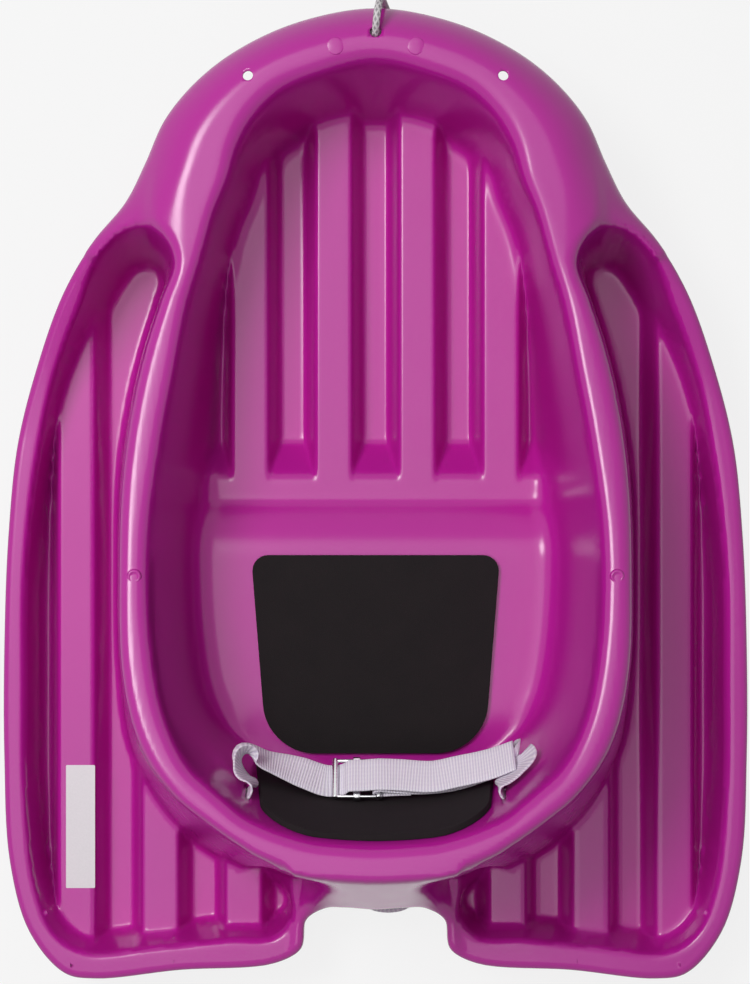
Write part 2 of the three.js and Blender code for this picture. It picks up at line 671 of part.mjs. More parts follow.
const freeStretch = (rows, place) => rows.map((row) => ({
  at: place(row.slice(0, 3)), across: new THREE.Vector3(...row.slice(3)).normalize(),
}));

// Through a slot: square to the backrest, from one side of the wall to the other.
function throughSlot(side, lifts) {
  const across = side * slotReach;
  const normal = backrestNormal(across, slotHeight);
  const down = backrestRise(across, slotHeight).negate();
  return lifts.map((lift) => ({
    at: backrestAt(across, slotHeight).addScaledVector(normal, lift), across: down,
  }));
}

function beltGeometry() {
  const inFront = 2 * wall;
  const inBack = -4 * wall;
  const stations = [
    ...sewnLoop.map(inBuckle),
    ...freeStretch(rightFrontShares, before),
    ...throughSlot(1, [inFront, -wall / 2, inBack]),
    ...freeStretch(behindShares, behind),
    ...throughSlot(-1, [inBack, -wall / 2, inFront]),
    ...freeStretch(leftFrontShares, before),
    ...throughBuckle.map(inBuckle),
    ...freeStretch(tailShares, before),
  ];
  const route = new THREE.CatmullRomCurve3(stations.map(({ at }) => at), false, 'centripetal');
  const facing = new THREE.CatmullRomCurve3(stations.map(({ across }) => across), false, 'centripetal');
  const count = (stations.length - 1) * 2;
  const rings = Array.from({ length: count + 1 }, (_, step) => {
    const share = step / count;
    const at = route.getPoint(share);
    const run = route.getTangent(share);
    const across = facing.getPoint(share);
    across.addScaledVector(run, -across.dot(run)).setLength(webbingWidth / 2);
    const lift = run.clone().cross(across).setLength(webbingThickness / 2);
    return [[1, 1], [-1, 1], [-1, -1], [1, -1]].map(([side, face]) =>
      at.clone().addScaledVector(across, side).addScaledVector(lift, face));
  });
  return outwards(loft(rings));
}

// Tow rope

// A round tube along points: each ring stands square to the run.
function tube(points, diameter, sides) {
  let side = new THREE.Vector3(1, 0, 0);
  const rings = points.map((point, index) => {
    const before = points[Math.max(0, index - 1)];
    const after = points[Math.min(points.length - 1, index + 1)];
    const run = after.clone().sub(before).normalize();
    if (Math.abs(side.dot(run)) > 0.9) side = new THREE.Vector3(0, 1, 0);
    side.addScaledVector(run, -side.dot(run)).normalize();
    const other = run.clone().cross(side);
    return Array.from({ length: sides }, (_, step) => {
      const turn = (2 * Math.PI * step) / sides;
      return point.clone()
        .addScaledVector(side, (Math.cos(turn) * diameter) / 2)
        .addScaledVector(other, (Math.sin(turn) * diameter) / 2);
    });
  });
  return outwards(loft(rings));
}

// The rope from the stopper knot under the nose up through its hole, over the deck and down to the
// coil on the ground behind the nose.
const leadRoute = [
  [0, 319.6, 130.3], [0, 319.6, 132.3], [0.1, 321.4, 135.6], [0.4, 325, 138.8], [0.9, 330, 140.2], [1.6, 335.2, 138.6],
  [2.5, 340.3, 133.6], [3.4, 344, 126], [4.2, 346.2, 116], [5, 347.2, 104], [6.4, 347.5, 86],
  [8.5, 347.5, 62], [11.5, 347.5, 40], [14, 347.5, 28], [15.6, 347.5, 20], [15.2, 347.5, 15],
  [13.4, 347.5, 11.4], [11.2, 347.5, 9], [9.2, 347.5, 8.5], [5.3, 347.5, 8.5],
].map((point) => new THREE.Vector3(...point));

// The stopper knot, a lump turned about the rope, flat where the rope comes out of it.
const knotPlace = new THREE.Vector3(0, 319.6, 130);
const knotShares = [[0, -2.6], [0.7, -2.55], [1.2, -2.1], [1.35, -1.4], [1.2, -0.65], [0.8, -0.15], [0.55, 0], [0, 0]];
function knotGeometry() {
  const profile = knotShares.map(([out, up]) => new THREE.Vector2(out, up).multiplyScalar(ropeDiameter));
  const geometry = new THREE.LatheGeometry(profile, 16).rotateX(Math.PI / 2);
  return geometry.translate(...knotPlace.toArray());
}

// The coil: two layers of loops, in along the ground and out again on top of them.
const coilLoops = 3;
const coilOuter = 31.5;
const coilPitch = 5.8;
const coilLift = 2.8;
const coilLayer = 5.7;
const coilSteps = 24;
const coilSides = 6;
const coilCentre = new THREE.Vector3(0, 316, 0);
function coilPoints() {
  const total = 2 * coilLoops;
  const points = [];
  for (let step = 0; step <= total * coilSteps; step += 1) {
    const loops = step / coilSteps;
    const radius = coilOuter - coilPitch * (loops < coilLoops ? loops : total - loops);
    const climb = clamp01((loops - coilLoops) * 2 + 0.5);
    const turn = Math.PI / 2 - 2 * Math.PI * loops;
    points.push(new THREE.Vector3(radius * Math.cos(turn), radius * Math.sin(turn),
      coilLift + coilLayer * climb).add(coilCentre));
  }
  const straight = (from) => new THREE.Vector3(from, 0, 0);
  points.unshift(points[0].clone().add(straight(-ropeDiameter)));
  points.push(points[points.length - 1].clone().add(straight(ropeDiameter)));
  return points;
}

// The least clear space between two turns of the coil, measured on its points.
function leastCoilGap(points) {
  let least = Infinity;
  const apart = coilSteps / 2;
  points.forEach((point, index) => points.slice(index + apart).forEach((other) => {
    least = Math.min(least, point.distanceTo(other) - ropeDiameter);
  }));
  return least;
}

// Parts

const materials = {
  hull: new THREE.MeshStandardMaterial({ color: 0xb8459c, roughness: 0.25, metalness: 0 }),
  foam: new THREE.MeshStandardMaterial({ color: 0x262223, roughness: 0.95, metalness: 0 }),
  webbing: new THREE.MeshStandardMaterial({ color: 0xd8cfe0, roughness: 0.9, metalness: 0 }),
  steel: new THREE.MeshStandardMaterial({ color: 0xb9bcc0, roughness: 0.2, metalness: 1 }),
  rope: new THREE.MeshStandardMaterial({ color: 0xe6e2e4, roughness: 0.9, metalness: 0 }),
};

const sled = new THREE.Group();
function addPart(name, geometry, material) {
  const mesh = new THREE.Mesh(geometry, material);
  mesh.name = name;
  sled.add(mesh);
}

const coilRun = coilPoints();
console.log(`least gap between the coil's turns: ${leastCoilGap(coilRun).toFixed(2)} mm`);

addPart('hull_shell', hullGeometry(), materials.hull);
addPart('seat_pad', padGeometry(seatSurface), materials.foam);
addPart('back_pad', padGeometry(backrestSurface), materials.foam);
addPart('belt_webbing', beltGeometry(), materials.webbing);
addPart('buckle_frame', buckleFrameGeometry(), materials.steel);
addPart('buckle_bar', buckleBarGeometry(), materials.steel);
addPart('tow_rope_knot', knotGeometry(), materials.rope);
addPart('tow_rope_lead', tube(leadRoute, ropeDiameter, 8), materials.rope);
addPart('tow_rope_coil', tube(coilRun, ropeDiameter, coilSides), materials.rope);

export default sled;
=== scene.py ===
import bpy
import bmesh
import math
import numpy as np
from mathutils import Matrix, Vector


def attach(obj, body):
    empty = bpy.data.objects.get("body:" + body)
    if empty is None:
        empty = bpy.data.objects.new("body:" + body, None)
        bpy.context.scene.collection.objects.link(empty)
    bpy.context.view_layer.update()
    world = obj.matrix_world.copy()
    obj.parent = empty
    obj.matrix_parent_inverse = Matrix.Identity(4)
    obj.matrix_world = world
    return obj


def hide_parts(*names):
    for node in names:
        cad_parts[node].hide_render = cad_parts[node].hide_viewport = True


# A toddler sled: the moulded hull, two foam pads, a webbing belt with its slide buckle, and a tow rope.
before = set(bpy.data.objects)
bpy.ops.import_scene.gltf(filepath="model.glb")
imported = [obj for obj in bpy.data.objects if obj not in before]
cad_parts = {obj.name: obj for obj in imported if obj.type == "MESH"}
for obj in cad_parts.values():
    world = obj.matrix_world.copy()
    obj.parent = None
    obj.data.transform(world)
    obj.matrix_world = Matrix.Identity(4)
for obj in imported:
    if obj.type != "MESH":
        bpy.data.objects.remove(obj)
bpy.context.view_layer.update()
mm = 0.001  # tables are in millimetres or shares, objects in metres
fullTurn = 2 * math.pi


# Camera

cameraSetup = {"place": (-0.0004, 0.0062, 1.9), "lens": 94.68, "sensor": 36.0, "near": 0.05, "far": 20.0}


def makeCamera():
    data = bpy.data.cameras.new("overheadCamera")
    data.lens = cameraSetup["lens"]
    data.sensor_width = cameraSetup["sensor"]
    data.clip_start = cameraSetup["near"]
    data.clip_end = cameraSetup["far"]
    camera = bpy.data.objects.new("overheadCamera", data)
    camera.location = cameraSetup["place"]
    bpy.context.scene.collection.objects.link(camera)
    bpy.context.scene.camera = camera
    print("camera ready")


makeCamera()


# Curves

def smoothCurve(points, steps, closed=False):
    # centripetal curve through the points, steps samples from each to the next
    points = np.array(points, float)
    count = len(points)
    if closed:
        padded = np.vstack([points[-1:], points, points[:2]])
        spans = count
    else:
        padded = np.vstack([2 * points[0] - points[1], points, 2 * points[-1] - points[-2]])
        spans = count - 1
    shares = np.arange(steps)[:, None] / steps
    samples = []
    for span in range(spans):
        before, start, end, after = padded[span:span + 4]
        gap0, gap1, gap2 = [max(1e-4, np.linalg.norm(b - a) ** 0.5)
                            for a, b in ((before, start), (start, end), (end, after))]
        leave = ((start - before) / gap0 - (end - before) / (gap0 + gap1) + (end - start) / gap1) * gap1
        arrive = ((end - start) / gap1 - (after - start) / (gap1 + gap2) + (after - end) / gap2) * gap1
        curve = (start + leave * shares + (3 * (end - start) - 2 * leave - arrive) * shares ** 2
                 + (2 * (start - end) + leave + arrive) * shares ** 3)
        samples.append(curve)
    if not closed:
        samples.append(points[-1:])
    return np.vstack(samples)


def lengthsAlong(points):
    steps = np.linalg.norm(np.diff(points, axis=0), axis=1)
    return np.concatenate([[0], np.cumsum(steps)])


def unitRows(rows):
    return rows / np.maximum(np.linalg.norm(rows, axis=-1, keepdims=True), 1e-12)


# Meshes

def addPiece(name, bm, material, body="sled", stands=()):
    mesh = bpy.data.meshes.new(name)
    bm.to_mesh(mesh)
    bm.free()
    mesh.shade_smooth()
    piece = bpy.data.objects.new(name, mesh)
    bpy.context.scene.collection.objects.link(piece)
    mesh.materials.append(material)
    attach(piece, body)
    if stands:
        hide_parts(*stands)
    print(f"{name}: {len(mesh.vertices)} vertices")
    return piece


def mappedGrid(places, followNames=(), follow=None):
    # a grid of faces whose corners go to the given places, with numbers for materials to follow
    rows, columns = places.shape[:2]
    bm = bmesh.new()
    bmesh.ops.create_grid(bm, x_segments=columns - 1, y_segments=rows - 1, size=1.0)
    layers = [bm.verts.layers.float.new(name) for name in followNames]
    for vert in bm.verts:
        column = round((vert.co.x + 1) / 2 * (columns - 1))
        row = round((vert.co.y + 1) / 2 * (rows - 1))
        vert.co = places[row, column]
        for number, layer in enumerate(layers):
            vert[layer] = follow[row, column, number]
    return bm


def closedTube(rings, followNames=(), follow=None, capped=True):
    # a tube through rings of points; the last column joins the first
    around = np.concatenate([rings, rings[:, :1]], axis=1)
    if follow is not None:
        follow = np.concatenate([follow, follow[:, :1]], axis=1)
    bm = mappedGrid(around, followNames, follow)
    bmesh.ops.remove_doubles(bm, verts=bm.verts, dist=1e-7)
    if capped:
        edges = [edge for edge in bm.edges if edge.is_boundary]
        bmesh.ops.holes_fill(bm, edges=edges, sides=0)
    bmesh.ops.recalc_face_normals(bm, faces=bm.faces)
    return bm


def ringsAlong(points, diameter, sides, firstSide=(1, 0, 0)):
    # rings square to the run, carried along it without twist
    points = np.array(points, float)
    runs = unitRows(np.gradient(points, axis=0))
    side = np.array(firstSide, float)
    turns = np.arange(sides) * fullTurn / sides
    rings = []
    for point, run in zip(points, runs):
        side = side - side.dot(run) * run
        side = side / np.linalg.norm(side)
        other = np.cross(run, side)
        rings.append(point + diameter / 2 * (np.cos(turns)[:, None] * side + np.sin(turns)[:, None] * other))
    return np.array(rings)


def spunPiece(profile, steps=32):
    # a closed shape from a profile of (out, up) pairs turned about the upright axis
    bm = bmesh.new()
    verts = [bm.verts.new((out, 0, up)) for out, up in profile]
    edges = [bm.edges.new(pair) for pair in zip(verts, verts[1:])]
    bmesh.ops.spin(bm, geom=verts + edges, cent=(0, 0, 0), axis=(0, 0, 1), angle=fullTurn,
                   steps=steps, use_merge=True)
    bmesh.ops.remove_doubles(bm, verts=bm.verts, dist=1e-6)
    bmesh.ops.recalc_face_normals(bm, faces=bm.faces)
    return bm


# Materials

class Nodes:
    # a node tree and the one way in which nodes are added to it
    def __init__(self, tree):
        self.tree = tree

    def set(self, node, values):
        # signals are linked to the node's inputs, anything else is set on them
        for name, value in values.items():
            if isinstance(value, Signal):
                self.tree.links.new(value.socket, node.inputs[name])
            else:
                node.inputs[name].default_value = value

    def node(self, kind, values=(), settings=(), output=0):
        made = self.tree.nodes.new(kind)
        for name, value in dict(settings).items():
            setattr(made, name, value)
        self.set(made, dict(values))
        return Signal(self.tree, made.outputs[output])


class Signal(Nodes):
    # a socket of a node tree that takes part in sums
    def __init__(self, tree, socket):
        super().__init__(tree)
        self.socket = socket

    def math(self, operation, *terms):
        return self.node("ShaderNodeMath", enumerate(terms), {"operation": operation})

    def __add__(self, other):
        return self.math("ADD", self, other)

    def __sub__(self, other):
        return self.math("SUBTRACT", self, other)

    def __rsub__(self, other):
        return self.math("SUBTRACT", other, self)

    def __mul__(self, other):
        return self.math("MULTIPLY", self, other)

    __radd__ = __add__
    __rmul__ = __mul__

    def sine(self):
        return self.math("SINE", self)

    def turn(self, other):
        return self.math("ARCTAN2", self, other)

    def most(self, other):
        return self.math("MAXIMUM", self, other)


class Finish(Nodes):
    # one material and the nodes that make it
    def __init__(self, name, colour, roughness, metallic=0.0, specular=0.5):
        self.material = bpy.data.materials.new(name)
        self.material.use_nodes = True
        super().__init__(self.material.node_tree)
        self.shader = self.tree.nodes["Principled BSDF"]
        self.set(self.shader, {"Base Color": (*colour, 1), "Roughness": roughness, "Metallic": metallic,
                               "Specular IOR Level": specular})

    def place(self):
        return self.node("ShaderNodeTexCoord", output="Object")

    def following(self, name):
        return self.node("ShaderNodeAttribute", settings={"attribute_name": name}, output="Fac")

    def noise(self, vector, scale, detail=3.0, roughness=0.5):
        return self.node("ShaderNodeTexNoise", {"Vector": vector, "Scale": scale, "Detail": detail,
                                                "Roughness": roughness})

    def range(self, value, low, high, toLow, toHigh):
        return self.node("ShaderNodeMapRange", enumerate((value, low, high, toLow, toHigh)))

    def mixColour(self, factor, first, second):
        return self.node("ShaderNodeMix", {0: factor, 6: (*first, 1), 7: (*second, 1)},
                         {"data_type": "RGBA"}, output=2)

    def surface(self, **values):
        self.set(self.shader, {name.replace("_", " "): value for name, value in values.items()})

    def bump(self, height, distance, strength=1.0):
        self.surface(Normal=self.node("ShaderNodeBump", {"Height": height, "Distance": distance,
                                                         "Strength": strength}))


def plasticFinish():
    finish = Finish("moulded plastic", (0.51, 0.008, 0.34), 0.22)
    place = finish.place()
    broad = finish.noise(place, 9, 2)
    fine = finish.noise(place, 60, 3)
    finish.surface(Base_Color=finish.mixColour(broad, (0.5, 0.01, 0.325), (0.54, 0.015, 0.355)))
    finish.surface(Roughness=finish.range(fine, 0.2, 0.8, 0.2, 0.25))
    grain = finish.noise(place, 1100, 2)
    finish.bump(grain, 0.00002, 0.3)
    return finish.material


def foamFinish():
    finish = Finish("closed cell foam", (0.017, 0.014, 0.015), 0.85, specular=0.15)
    place = finish.place()
    cells = finish.noise(place, 1500, 2, 0.7)
    patches = finish.noise(place, 35, 3)
    finish.surface(Base_Color=finish.mixColour(patches, (0.014, 0.012, 0.013), (0.02, 0.016, 0.017)))
    finish.surface(Roughness=finish.range(cells, 0.3, 0.7, 0.78, 0.95))
    finish.bump(cells + patches * 0.4, 0.0003, 0.6)
    return finish.material


def webbingFinish():
    finish = Finish("ribbed webbing", (0.68, 0.62, 0.76), 0.75, specular=0.35)
    along = finish.following("along")
    across = finish.following("across")
    ribs = (along * (fullTurn / (webbing["rib"] * mm))).sine() * 0.5 + 0.5
    cords = (across * (fullTurn / (webbing["cord"] * mm))).sine() * 0.5 + 0.5
    threads = finish.noise(finish.place(), 2600, 2)
    weave = ribs * 0.8 + cords * 0.08 + threads * 0.4
    # the colour follows the weave's height: painted shade darkens the grooves between ribs and cords and
    # painted light brightens their tops, with random thread tone from the noise
    light = finish.range(weave, 0.2, 1.1, 0.0, 1.0)
    finish.surface(Base_Color=finish.mixColour(light, (0.72, 0.65, 0.79), (0.97, 0.93, 0.99)))
    finish.bump(weave, 0.0004, 0.8)
    return finish.material


def steelFinish():
    finish = Finish("polished steel", (0.72, 0.72, 0.74), 0.16, metallic=1.0)
    place = finish.place()
    streaks = finish.node("ShaderNodeMapping", {"Vector": place, "Scale": (60, 900, 900)})
    lines = finish.noise(streaks, 1, 3)
    finish.surface(Roughness=finish.range(lines, 0.3, 0.7, 0.12, 0.28))
    finish.surface(Base_Color=finish.mixColour(lines, (0.64, 0.64, 0.66), (0.8, 0.8, 0.82)))
    finish.bump(lines, 0.00003, 0.4)
    return finish.material


def ropeFinish():
    finish = Finish("braided rope", (0.72, 0.69, 0.7), 0.8, specular=0.3)
    along = finish.following("along") * (fullTurn / (towRope["braid"] * mm))
    around = finish.following("sideways").turn(finish.following("upwards")) * towRope["strands"]
    strands = (around + along).sine().most((around - along).sine())
    threads = finish.noise(finish.place(), 3000, 2)
    height = strands + threads * 0.4
    # the colour follows the braid's height: painted shade darkens the gaps between strands and painted light
    # brightens their crowns, with random thread tone from the noise
    light = finish.range(height, -0.4, 1.2, 0.0, 1.0)
    finish.surface(Base_Color=finish.mixColour(light, (0.36, 0.33, 0.36), (0.84, 0.81, 0.82)))
    finish.bump(height, 0.0004, 0.8)
    return finish.material


def labelFinish():
    finish = Finish("blank label", (0.8, 0.8, 0.8), 0.4)
    grain = finish.noise(finish.place(), 700, 3)
    finish.surface(Base_Color=finish.mixColour(grain, (0.76, 0.76, 0.77), (0.84, 0.84, 0.85)))
    finish.bump(grain, 0.00005, 0.3)
    return finish.material


# Tow rope: out of the hole in the nose, over the edge, and down to its coil under the nose

towRope = {
    "diameter": 5.0, "sides": 14, "braid": 5.5, "strands": 4, "spanSteps": 4,
    "lead": [
        (0, 319.6, 130.3), (0, 319.6, 132.3), (0.1, 321.4, 135.6), (0.4, 325, 138.8), (0.9, 330, 140.2),
        (1.6, 335.2, 138.6), (2.5, 340.3, 133.6), (3.4, 344, 126), (4.2, 346.2, 116), (5, 347.2, 104),
        (6.4, 347.5, 86), (8.5, 347.5, 62), (11.5, 347.5, 40), (14, 347.5, 28), (15.6, 347.5, 20),
        (15.2, 347.5, 15), (13.4, 347.5, 11.4), (11.2, 347.5, 9), (9.2, 347.5, 8.5), (5.3, 347.5, 8.5),
    ],
    "loops": 3, "outer": 31.5, "pitch": 5.8, "lift": 2.8, "layer": 5.7, "turnSteps": 24,
    "centre": (0, 316, 0), "end": 5.0,
    "knotTop": 130.0, "knotReach": 2.15, "knotRise": 2.9, "knotSteps": 90,
}


def coilPoints():
    # two layers of loops, from the top layer's outer end in, and out again on the ground
    loops = towRope["loops"]
    total = 2 * loops
    centre = np.array(towRope["centre"], float)
    points = [centre + (towRope["end"], towRope["outer"], towRope["lift"] + towRope["layer"])]
    for step in range(total * towRope["turnSteps"], -1, -1):
        at = step / towRope["turnSteps"]
        radius = towRope["outer"] - towRope["pitch"] * (at if at < loops else total - at)
        climb = min(1, max(0, (at - loops) * 2 + 0.5))
        turn = math.pi / 2 - fullTurn * at
        points.append(centre + (radius * math.cos(turn), radius * math.sin(turn),
                                towRope["lift"] + towRope["layer"] * climb))
    points.append(centre + (-towRope["end"], towRope["outer"], towRope["lift"]))
    return np.array(points)


def ropeTube(points, looped=False):
    sides = towRope["sides"]
    rings = ringsAlong(points, towRope["diameter"] * mm, sides)
    if looped:
        rings[-1] = rings[0]
    turns = np.arange(sides) * fullTurn / sides
    follow = np.zeros((len(points), sides, 3))
    follow[:, :, 0] = lengthsAlong(points)[:, None]
    follow[:, :, 1] = np.cos(turns)
    follow[:, :, 2] = np.sin(turns)
    return closedTube(rings, ("along", "sideways", "upwards"), follow, capped=not looped)


def makeRope():
    material = ropeFinish()
    lead = smoothCurve(towRope["lead"], towRope["spanSteps"])
    points = np.vstack([lead[:-1], coilPoints()]) * mm
    rope = addPiece("towRope", ropeTube(points), material,
                    stands=("tow_rope_lead", "tow_rope_coil"))
    knot = addPiece("towKnot", knotTube(), material, stands=("tow_rope_knot",))


def knotTube():
    # a stopper knot pulled up under the nose: one closed run of three crossings
    turns = np.linspace(0, fullTurn, towRope["knotSteps"], endpoint=False)
    reach = towRope["knotReach"]
    height = towRope["knotTop"] - towRope["knotRise"] - towRope["diameter"] / 2
    centre = np.array((0, towRope["lead"][0][1], height))
    loops = np.stack([reach * (np.sin(turns) + 2 * np.sin(2 * turns)),
                      reach * (np.cos(turns) - 2 * np.cos(2 * turns)),
                      -towRope["knotRise"] * np.sin(3 * turns)], axis=1) + centre
    return ropeTube(np.vstack([loops, loops[:1]]) * mm, looped=True)


# Hull

hull = {
    "length": 682.0, "width": 530.0, "wall": 3.0,
    "noseLip": 112.0, "wingLip": 58.0, "frontRim": 135.0, "backRim": 205.0,
    "lipClimb": (0.56, 0.9), "rimClimb": (0.74, 0.606, 1.35),
    "ridge": 28.0, "ridgeHalf": 13.5, "ridgeSlope": 25 / 7, "ridgePitch": 60.5, "wingRidge": 216.3,
    "ridgeRounds": (2.4, 3.0), "ridgeEnd": 12.0, "shortRidges": ((1, 0.22), (2, 0.14)),
    "crest": 0.48, "crown": 1.2, "crestReach": 14.0, "rimDrop": 10.0,
    "rearDrop": 8.0, "rearShift": 0.3, "rearFoot": 60.0, "rearRounds": (10.0, 4.0),
    "tubFootRise": 12.0, "tubFoot": 12.0, "tubTop": 10.0,
    "seatFoot": (7.0, -25.0, 10.0), "backFoot": (12.0, 140.0, 178.0), "noseTop": (5.0, 190.0, 280.0),
    "pocketFootRise": 5.0, "pocketTops": (5.5, 8.0), "pocketFoot": 6.0, "leastRun": 8.0,
    "leastPocketRun": 3.0, "edgeInset": 6.0, "loopSteps": 8,
}
# Rows from the middle of the nose round to the middle of the notch at the back, as shares of the half
# width across and of the length from the tail.
outlineShares = [
    (0, 1), (0.202, 0.986), (0.36, 0.958), (0.468, 0.926), (0.551, 0.887), (0.604, 0.843),
    (0.657, 0.805), (0.743, 0.767), (0.83, 0.715), (0.906, 0.642), (0.962, 0.563), (0.989, 0.463),
    (1, 0.346), (1, 0.234), (0.985, 0.123), (0.932, 0.049), (0.838, 0.006), (0.755, 0),
    (0.528, 0.009), (0.272, 0.016), (0.2, 0.032), (0.186, 0.062), (0.13, 0.076), (0, 0.075),
]
rimOuterShares = [
    (0, 0.985), (0.192, 0.972), (0.34, 0.947), (0.438, 0.917), (0.517, 0.879), (0.562, 0.837),
    (0.566, 0.8), (0.535, 0.748), (0.566, 0.7), (0.608, 0.634), (0.642, 0.563), (0.657, 0.463),
    (0.655, 0.363), (0.625, 0.293), (0.572, 0.245), (0.506, 0.212), (0.453, 0.196), (0.392, 0.177),
    (0.302, 0.1565), (0.226, 0.1455), (0.174, 0.14), (0.135, 0.1372), (0.08, 0.1347), (0, 0.1335),
]
rimInnerShares = [
    (0, 0.939), (0.143, 0.926), (0.242, 0.909), (0.309, 0.883), (0.347, 0.856), (0.374, 0.822),
    (0.408, 0.79), (0.442, 0.743), (0.479, 0.695), (0.509, 0.632), (0.54, 0.563), (0.57, 0.463),
    (0.562, 0.363), (0.524, 0.289), (0.464, 0.243), (0.407, 0.2225), (0.367, 0.2095), (0.327, 0.197),
    (0.26, 0.185), (0.195, 0.1768), (0.151, 0.173), (0.117, 0.1715), (0.07, 0.17), (0, 0.169),
]
tubFootShares = [
    (0, 0.91), (0.136, 0.903), (0.219, 0.887), (0.275, 0.871), (0.319, 0.848), (0.347, 0.824),
    (0.377, 0.795), (0.404, 0.746), (0.423, 0.695), (0.436, 0.632), (0.449, 0.563), (0.466, 0.463),
    (0.464, 0.363), (0.442, 0.302), (0.4, 0.269), (0.355, 0.25), (0.317, 0.239), (0.272, 0.23),
    (0.211, 0.225), (0.155, 0.222), (0.117, 0.22), (0.09, 0.22), (0.054, 0.219), (0, 0.219),
]
sweepShares = [1, 1, 1, 1, 1, 1, 0.9, 0.6, 0, 0, 0, 0, 0, 0, 0, 0, 0, 0, 0, 0, 0, 0.5, 1, 1]
pocketMouthShares = [
    (0.736, 0.748), (0.781, 0.707), (0.86, 0.627), (0.909, 0.536), (0.937, 0.428), (0.94, 0.307),
    (0.938, 0.197), (0.913, 0.099), (0.862, 0.049), (0.781, 0.029), (0.6, 0.034), (0.4, 0.042),
    (0.272, 0.045), (0.23, 0.064), (0.228, 0.087), (0.242, 0.141), (0.317, 0.159), (0.415, 0.184),
    (0.509, 0.213), (0.592, 0.258), (0.642, 0.325), (0.657, 0.434), (0.651, 0.528), (0.626, 0.601),
    (0.594, 0.657), (0.555, 0.705), (0.526, 0.739), (0.547, 0.762), (0.6, 0.777), (0.668, 0.773),
]
pocketFootShares = [
    (0.702, 0.734), (0.758, 0.695), (0.843, 0.624), (0.892, 0.536), (0.92, 0.428), (0.923, 0.307),
    (0.921, 0.197), (0.894, 0.102), (0.849, 0.056), (0.774, 0.037), (0.6, 0.043), (0.4, 0.051),
    (0.275, 0.054), (0.238, 0.067), (0.242, 0.08), (0.268, 0.09), (0.34, 0.102), (0.453, 0.123),
    (0.566, 0.159), (0.672, 0.234), (0.702, 0.316), (0.709, 0.434), (0.702, 0.528), (0.674, 0.605),
    (0.638, 0.664), (0.596, 0.714), (0.581, 0.736), (0.596, 0.748), (0.626, 0.753), (0.668, 0.749),
]
pocketRiseShares = [
    0, 0, 0, 0, 0, 0, 0, 0, 0, 0, 0, 0, 0, 0, 0.1, 1, 1, 1, 1, 1, 1, 1, 1, 1, 1, 1, 1, 0.8, 0.4, 0,
]


def mix(start, end, share):
    return start + (end - start) * share


def ease(value, start, end):
    share = np.clip((value - start) / (end - start), 0, 1)
    return share * share * (3 - 2 * share)


def eased(value, amount, start, end):
    return amount * ease(value, start, end)


def planPlaces(shares):
    rows = np.array(shares, float)
    return np.stack([rows[:, 0] * hull["width"] / 2, (rows[:, 1] - 0.5) * hull["length"]], axis=1)


def alongAt(share):
    return (share - 0.5) * hull["length"]


def mirroredRows(shares):
    return [(-across, along) for across, along in shares] + list(shares[-2:0:-1])


def hullLoop(shares):
    return smoothCurve(planPlaces(mirroredRows(shares)), hull["loopSteps"], closed=True)


outlineLoop = hullLoop(outlineShares)
rimOuterLoop = hullLoop(rimOuterShares)
rimInnerLoop = hullLoop(rimInnerShares)
tubFootLoop = hullLoop(tubFootShares)
mouthLoop = smoothCurve(planPlaces(pocketMouthShares), hull["loopSteps"], closed=True)
pocketFootLoop = smoothCurve(planPlaces(pocketFootShares), hull["loopSteps"], closed=True)
sweepTable = sweepShares + sweepShares[-2:0:-1]


def rowValue(table, at):
    rows = at / hull["loopSteps"]
    return np.interp(rows, np.arange(len(table) + 1), list(table) + [table[0]])


def lipHeight(y):
    return mix(hull["wingLip"], hull["noseLip"], ease(y / hull["length"] + 0.5, *hull["lipClimb"]))


def rimHeight(y):
    start, run, power = hull["rimClimb"]
    climb = np.clip((start - (y / hull["length"] + 0.5)) / run, 0, 1)
    return mix(hull["frontRim"], hull["backRim"], climb ** power)


def onLoop(x, y, loop):
    # how far inside a closed loop each place lies, and where along the loop it is nearest to
    nearest = np.full(x.shape, np.inf)
    at = np.zeros(x.shape)
    inside = np.zeros(x.shape, bool)
    ends = np.roll(loop, -1, axis=0)
    for number, ((x0, y0), (x1, y1)) in enumerate(zip(loop, ends)):
        dx = x1 - x0
        dy = y1 - y0
        share = np.clip(((x - x0) * dx + (y - y0) * dy) / (dx * dx + dy * dy), 0, 1)
        away = (x - x0 - share * dx) ** 2 + (y - y0 - share * dy) ** 2
        closer = away < nearest
        nearest[closer] = away[closer]
        at[closer] = number + share[closer]
        if dy != 0:
            inside ^= ((y0 > y) != (y1 > y)) & (x < x0 + (y - y0) * dx / dy)
    return np.where(inside, 1, -1) * np.sqrt(nearest), at


def wallProfile(past, slope, above, below, topRadius, footRadius, skin):
    # height of a sloping wall at a distance past its top corner, rounded at its top and its foot
    angle = np.arctan(slope)
    half = np.tan(angle / 2)
    drop = np.maximum(above - below, 0.01)
    round1 = np.maximum(topRadius - skin, 0.5)
    round2 = footRadius + skin
    room = drop / ((round1 + round2) * (1 - np.cos(angle)))
    fit = np.minimum(1, room)
    round1 = round1 * fit
    round2 = round2 * fit
    past = past + skin * half
    reach1 = round1 * np.sin(angle)
    reach2 = round2 * np.sin(angle)
    fromTop = past + round1 * half
    fromFoot = drop / slope + round2 * half - past
    arc1 = np.clip(fromTop, 0, reach1)
    arc2 = np.clip(fromFoot, 0, reach2)
    upper = above - (round1 - np.sqrt(np.maximum(0, round1 ** 2 - arc1 ** 2)))
    upper = upper - slope * np.maximum(0, fromTop - reach1)
    lower = below + (round2 - np.sqrt(np.maximum(0, round2 ** 2 - arc2 ** 2)))
    lower = lower + slope * np.maximum(0, fromFoot - reach2)
    return np.where(fromTop < reach1, upper, np.where(fromFoot < reach2, lower, upper))


def topReach(slope, radius):
    return radius * np.tan(np.arctan(slope) / 2)


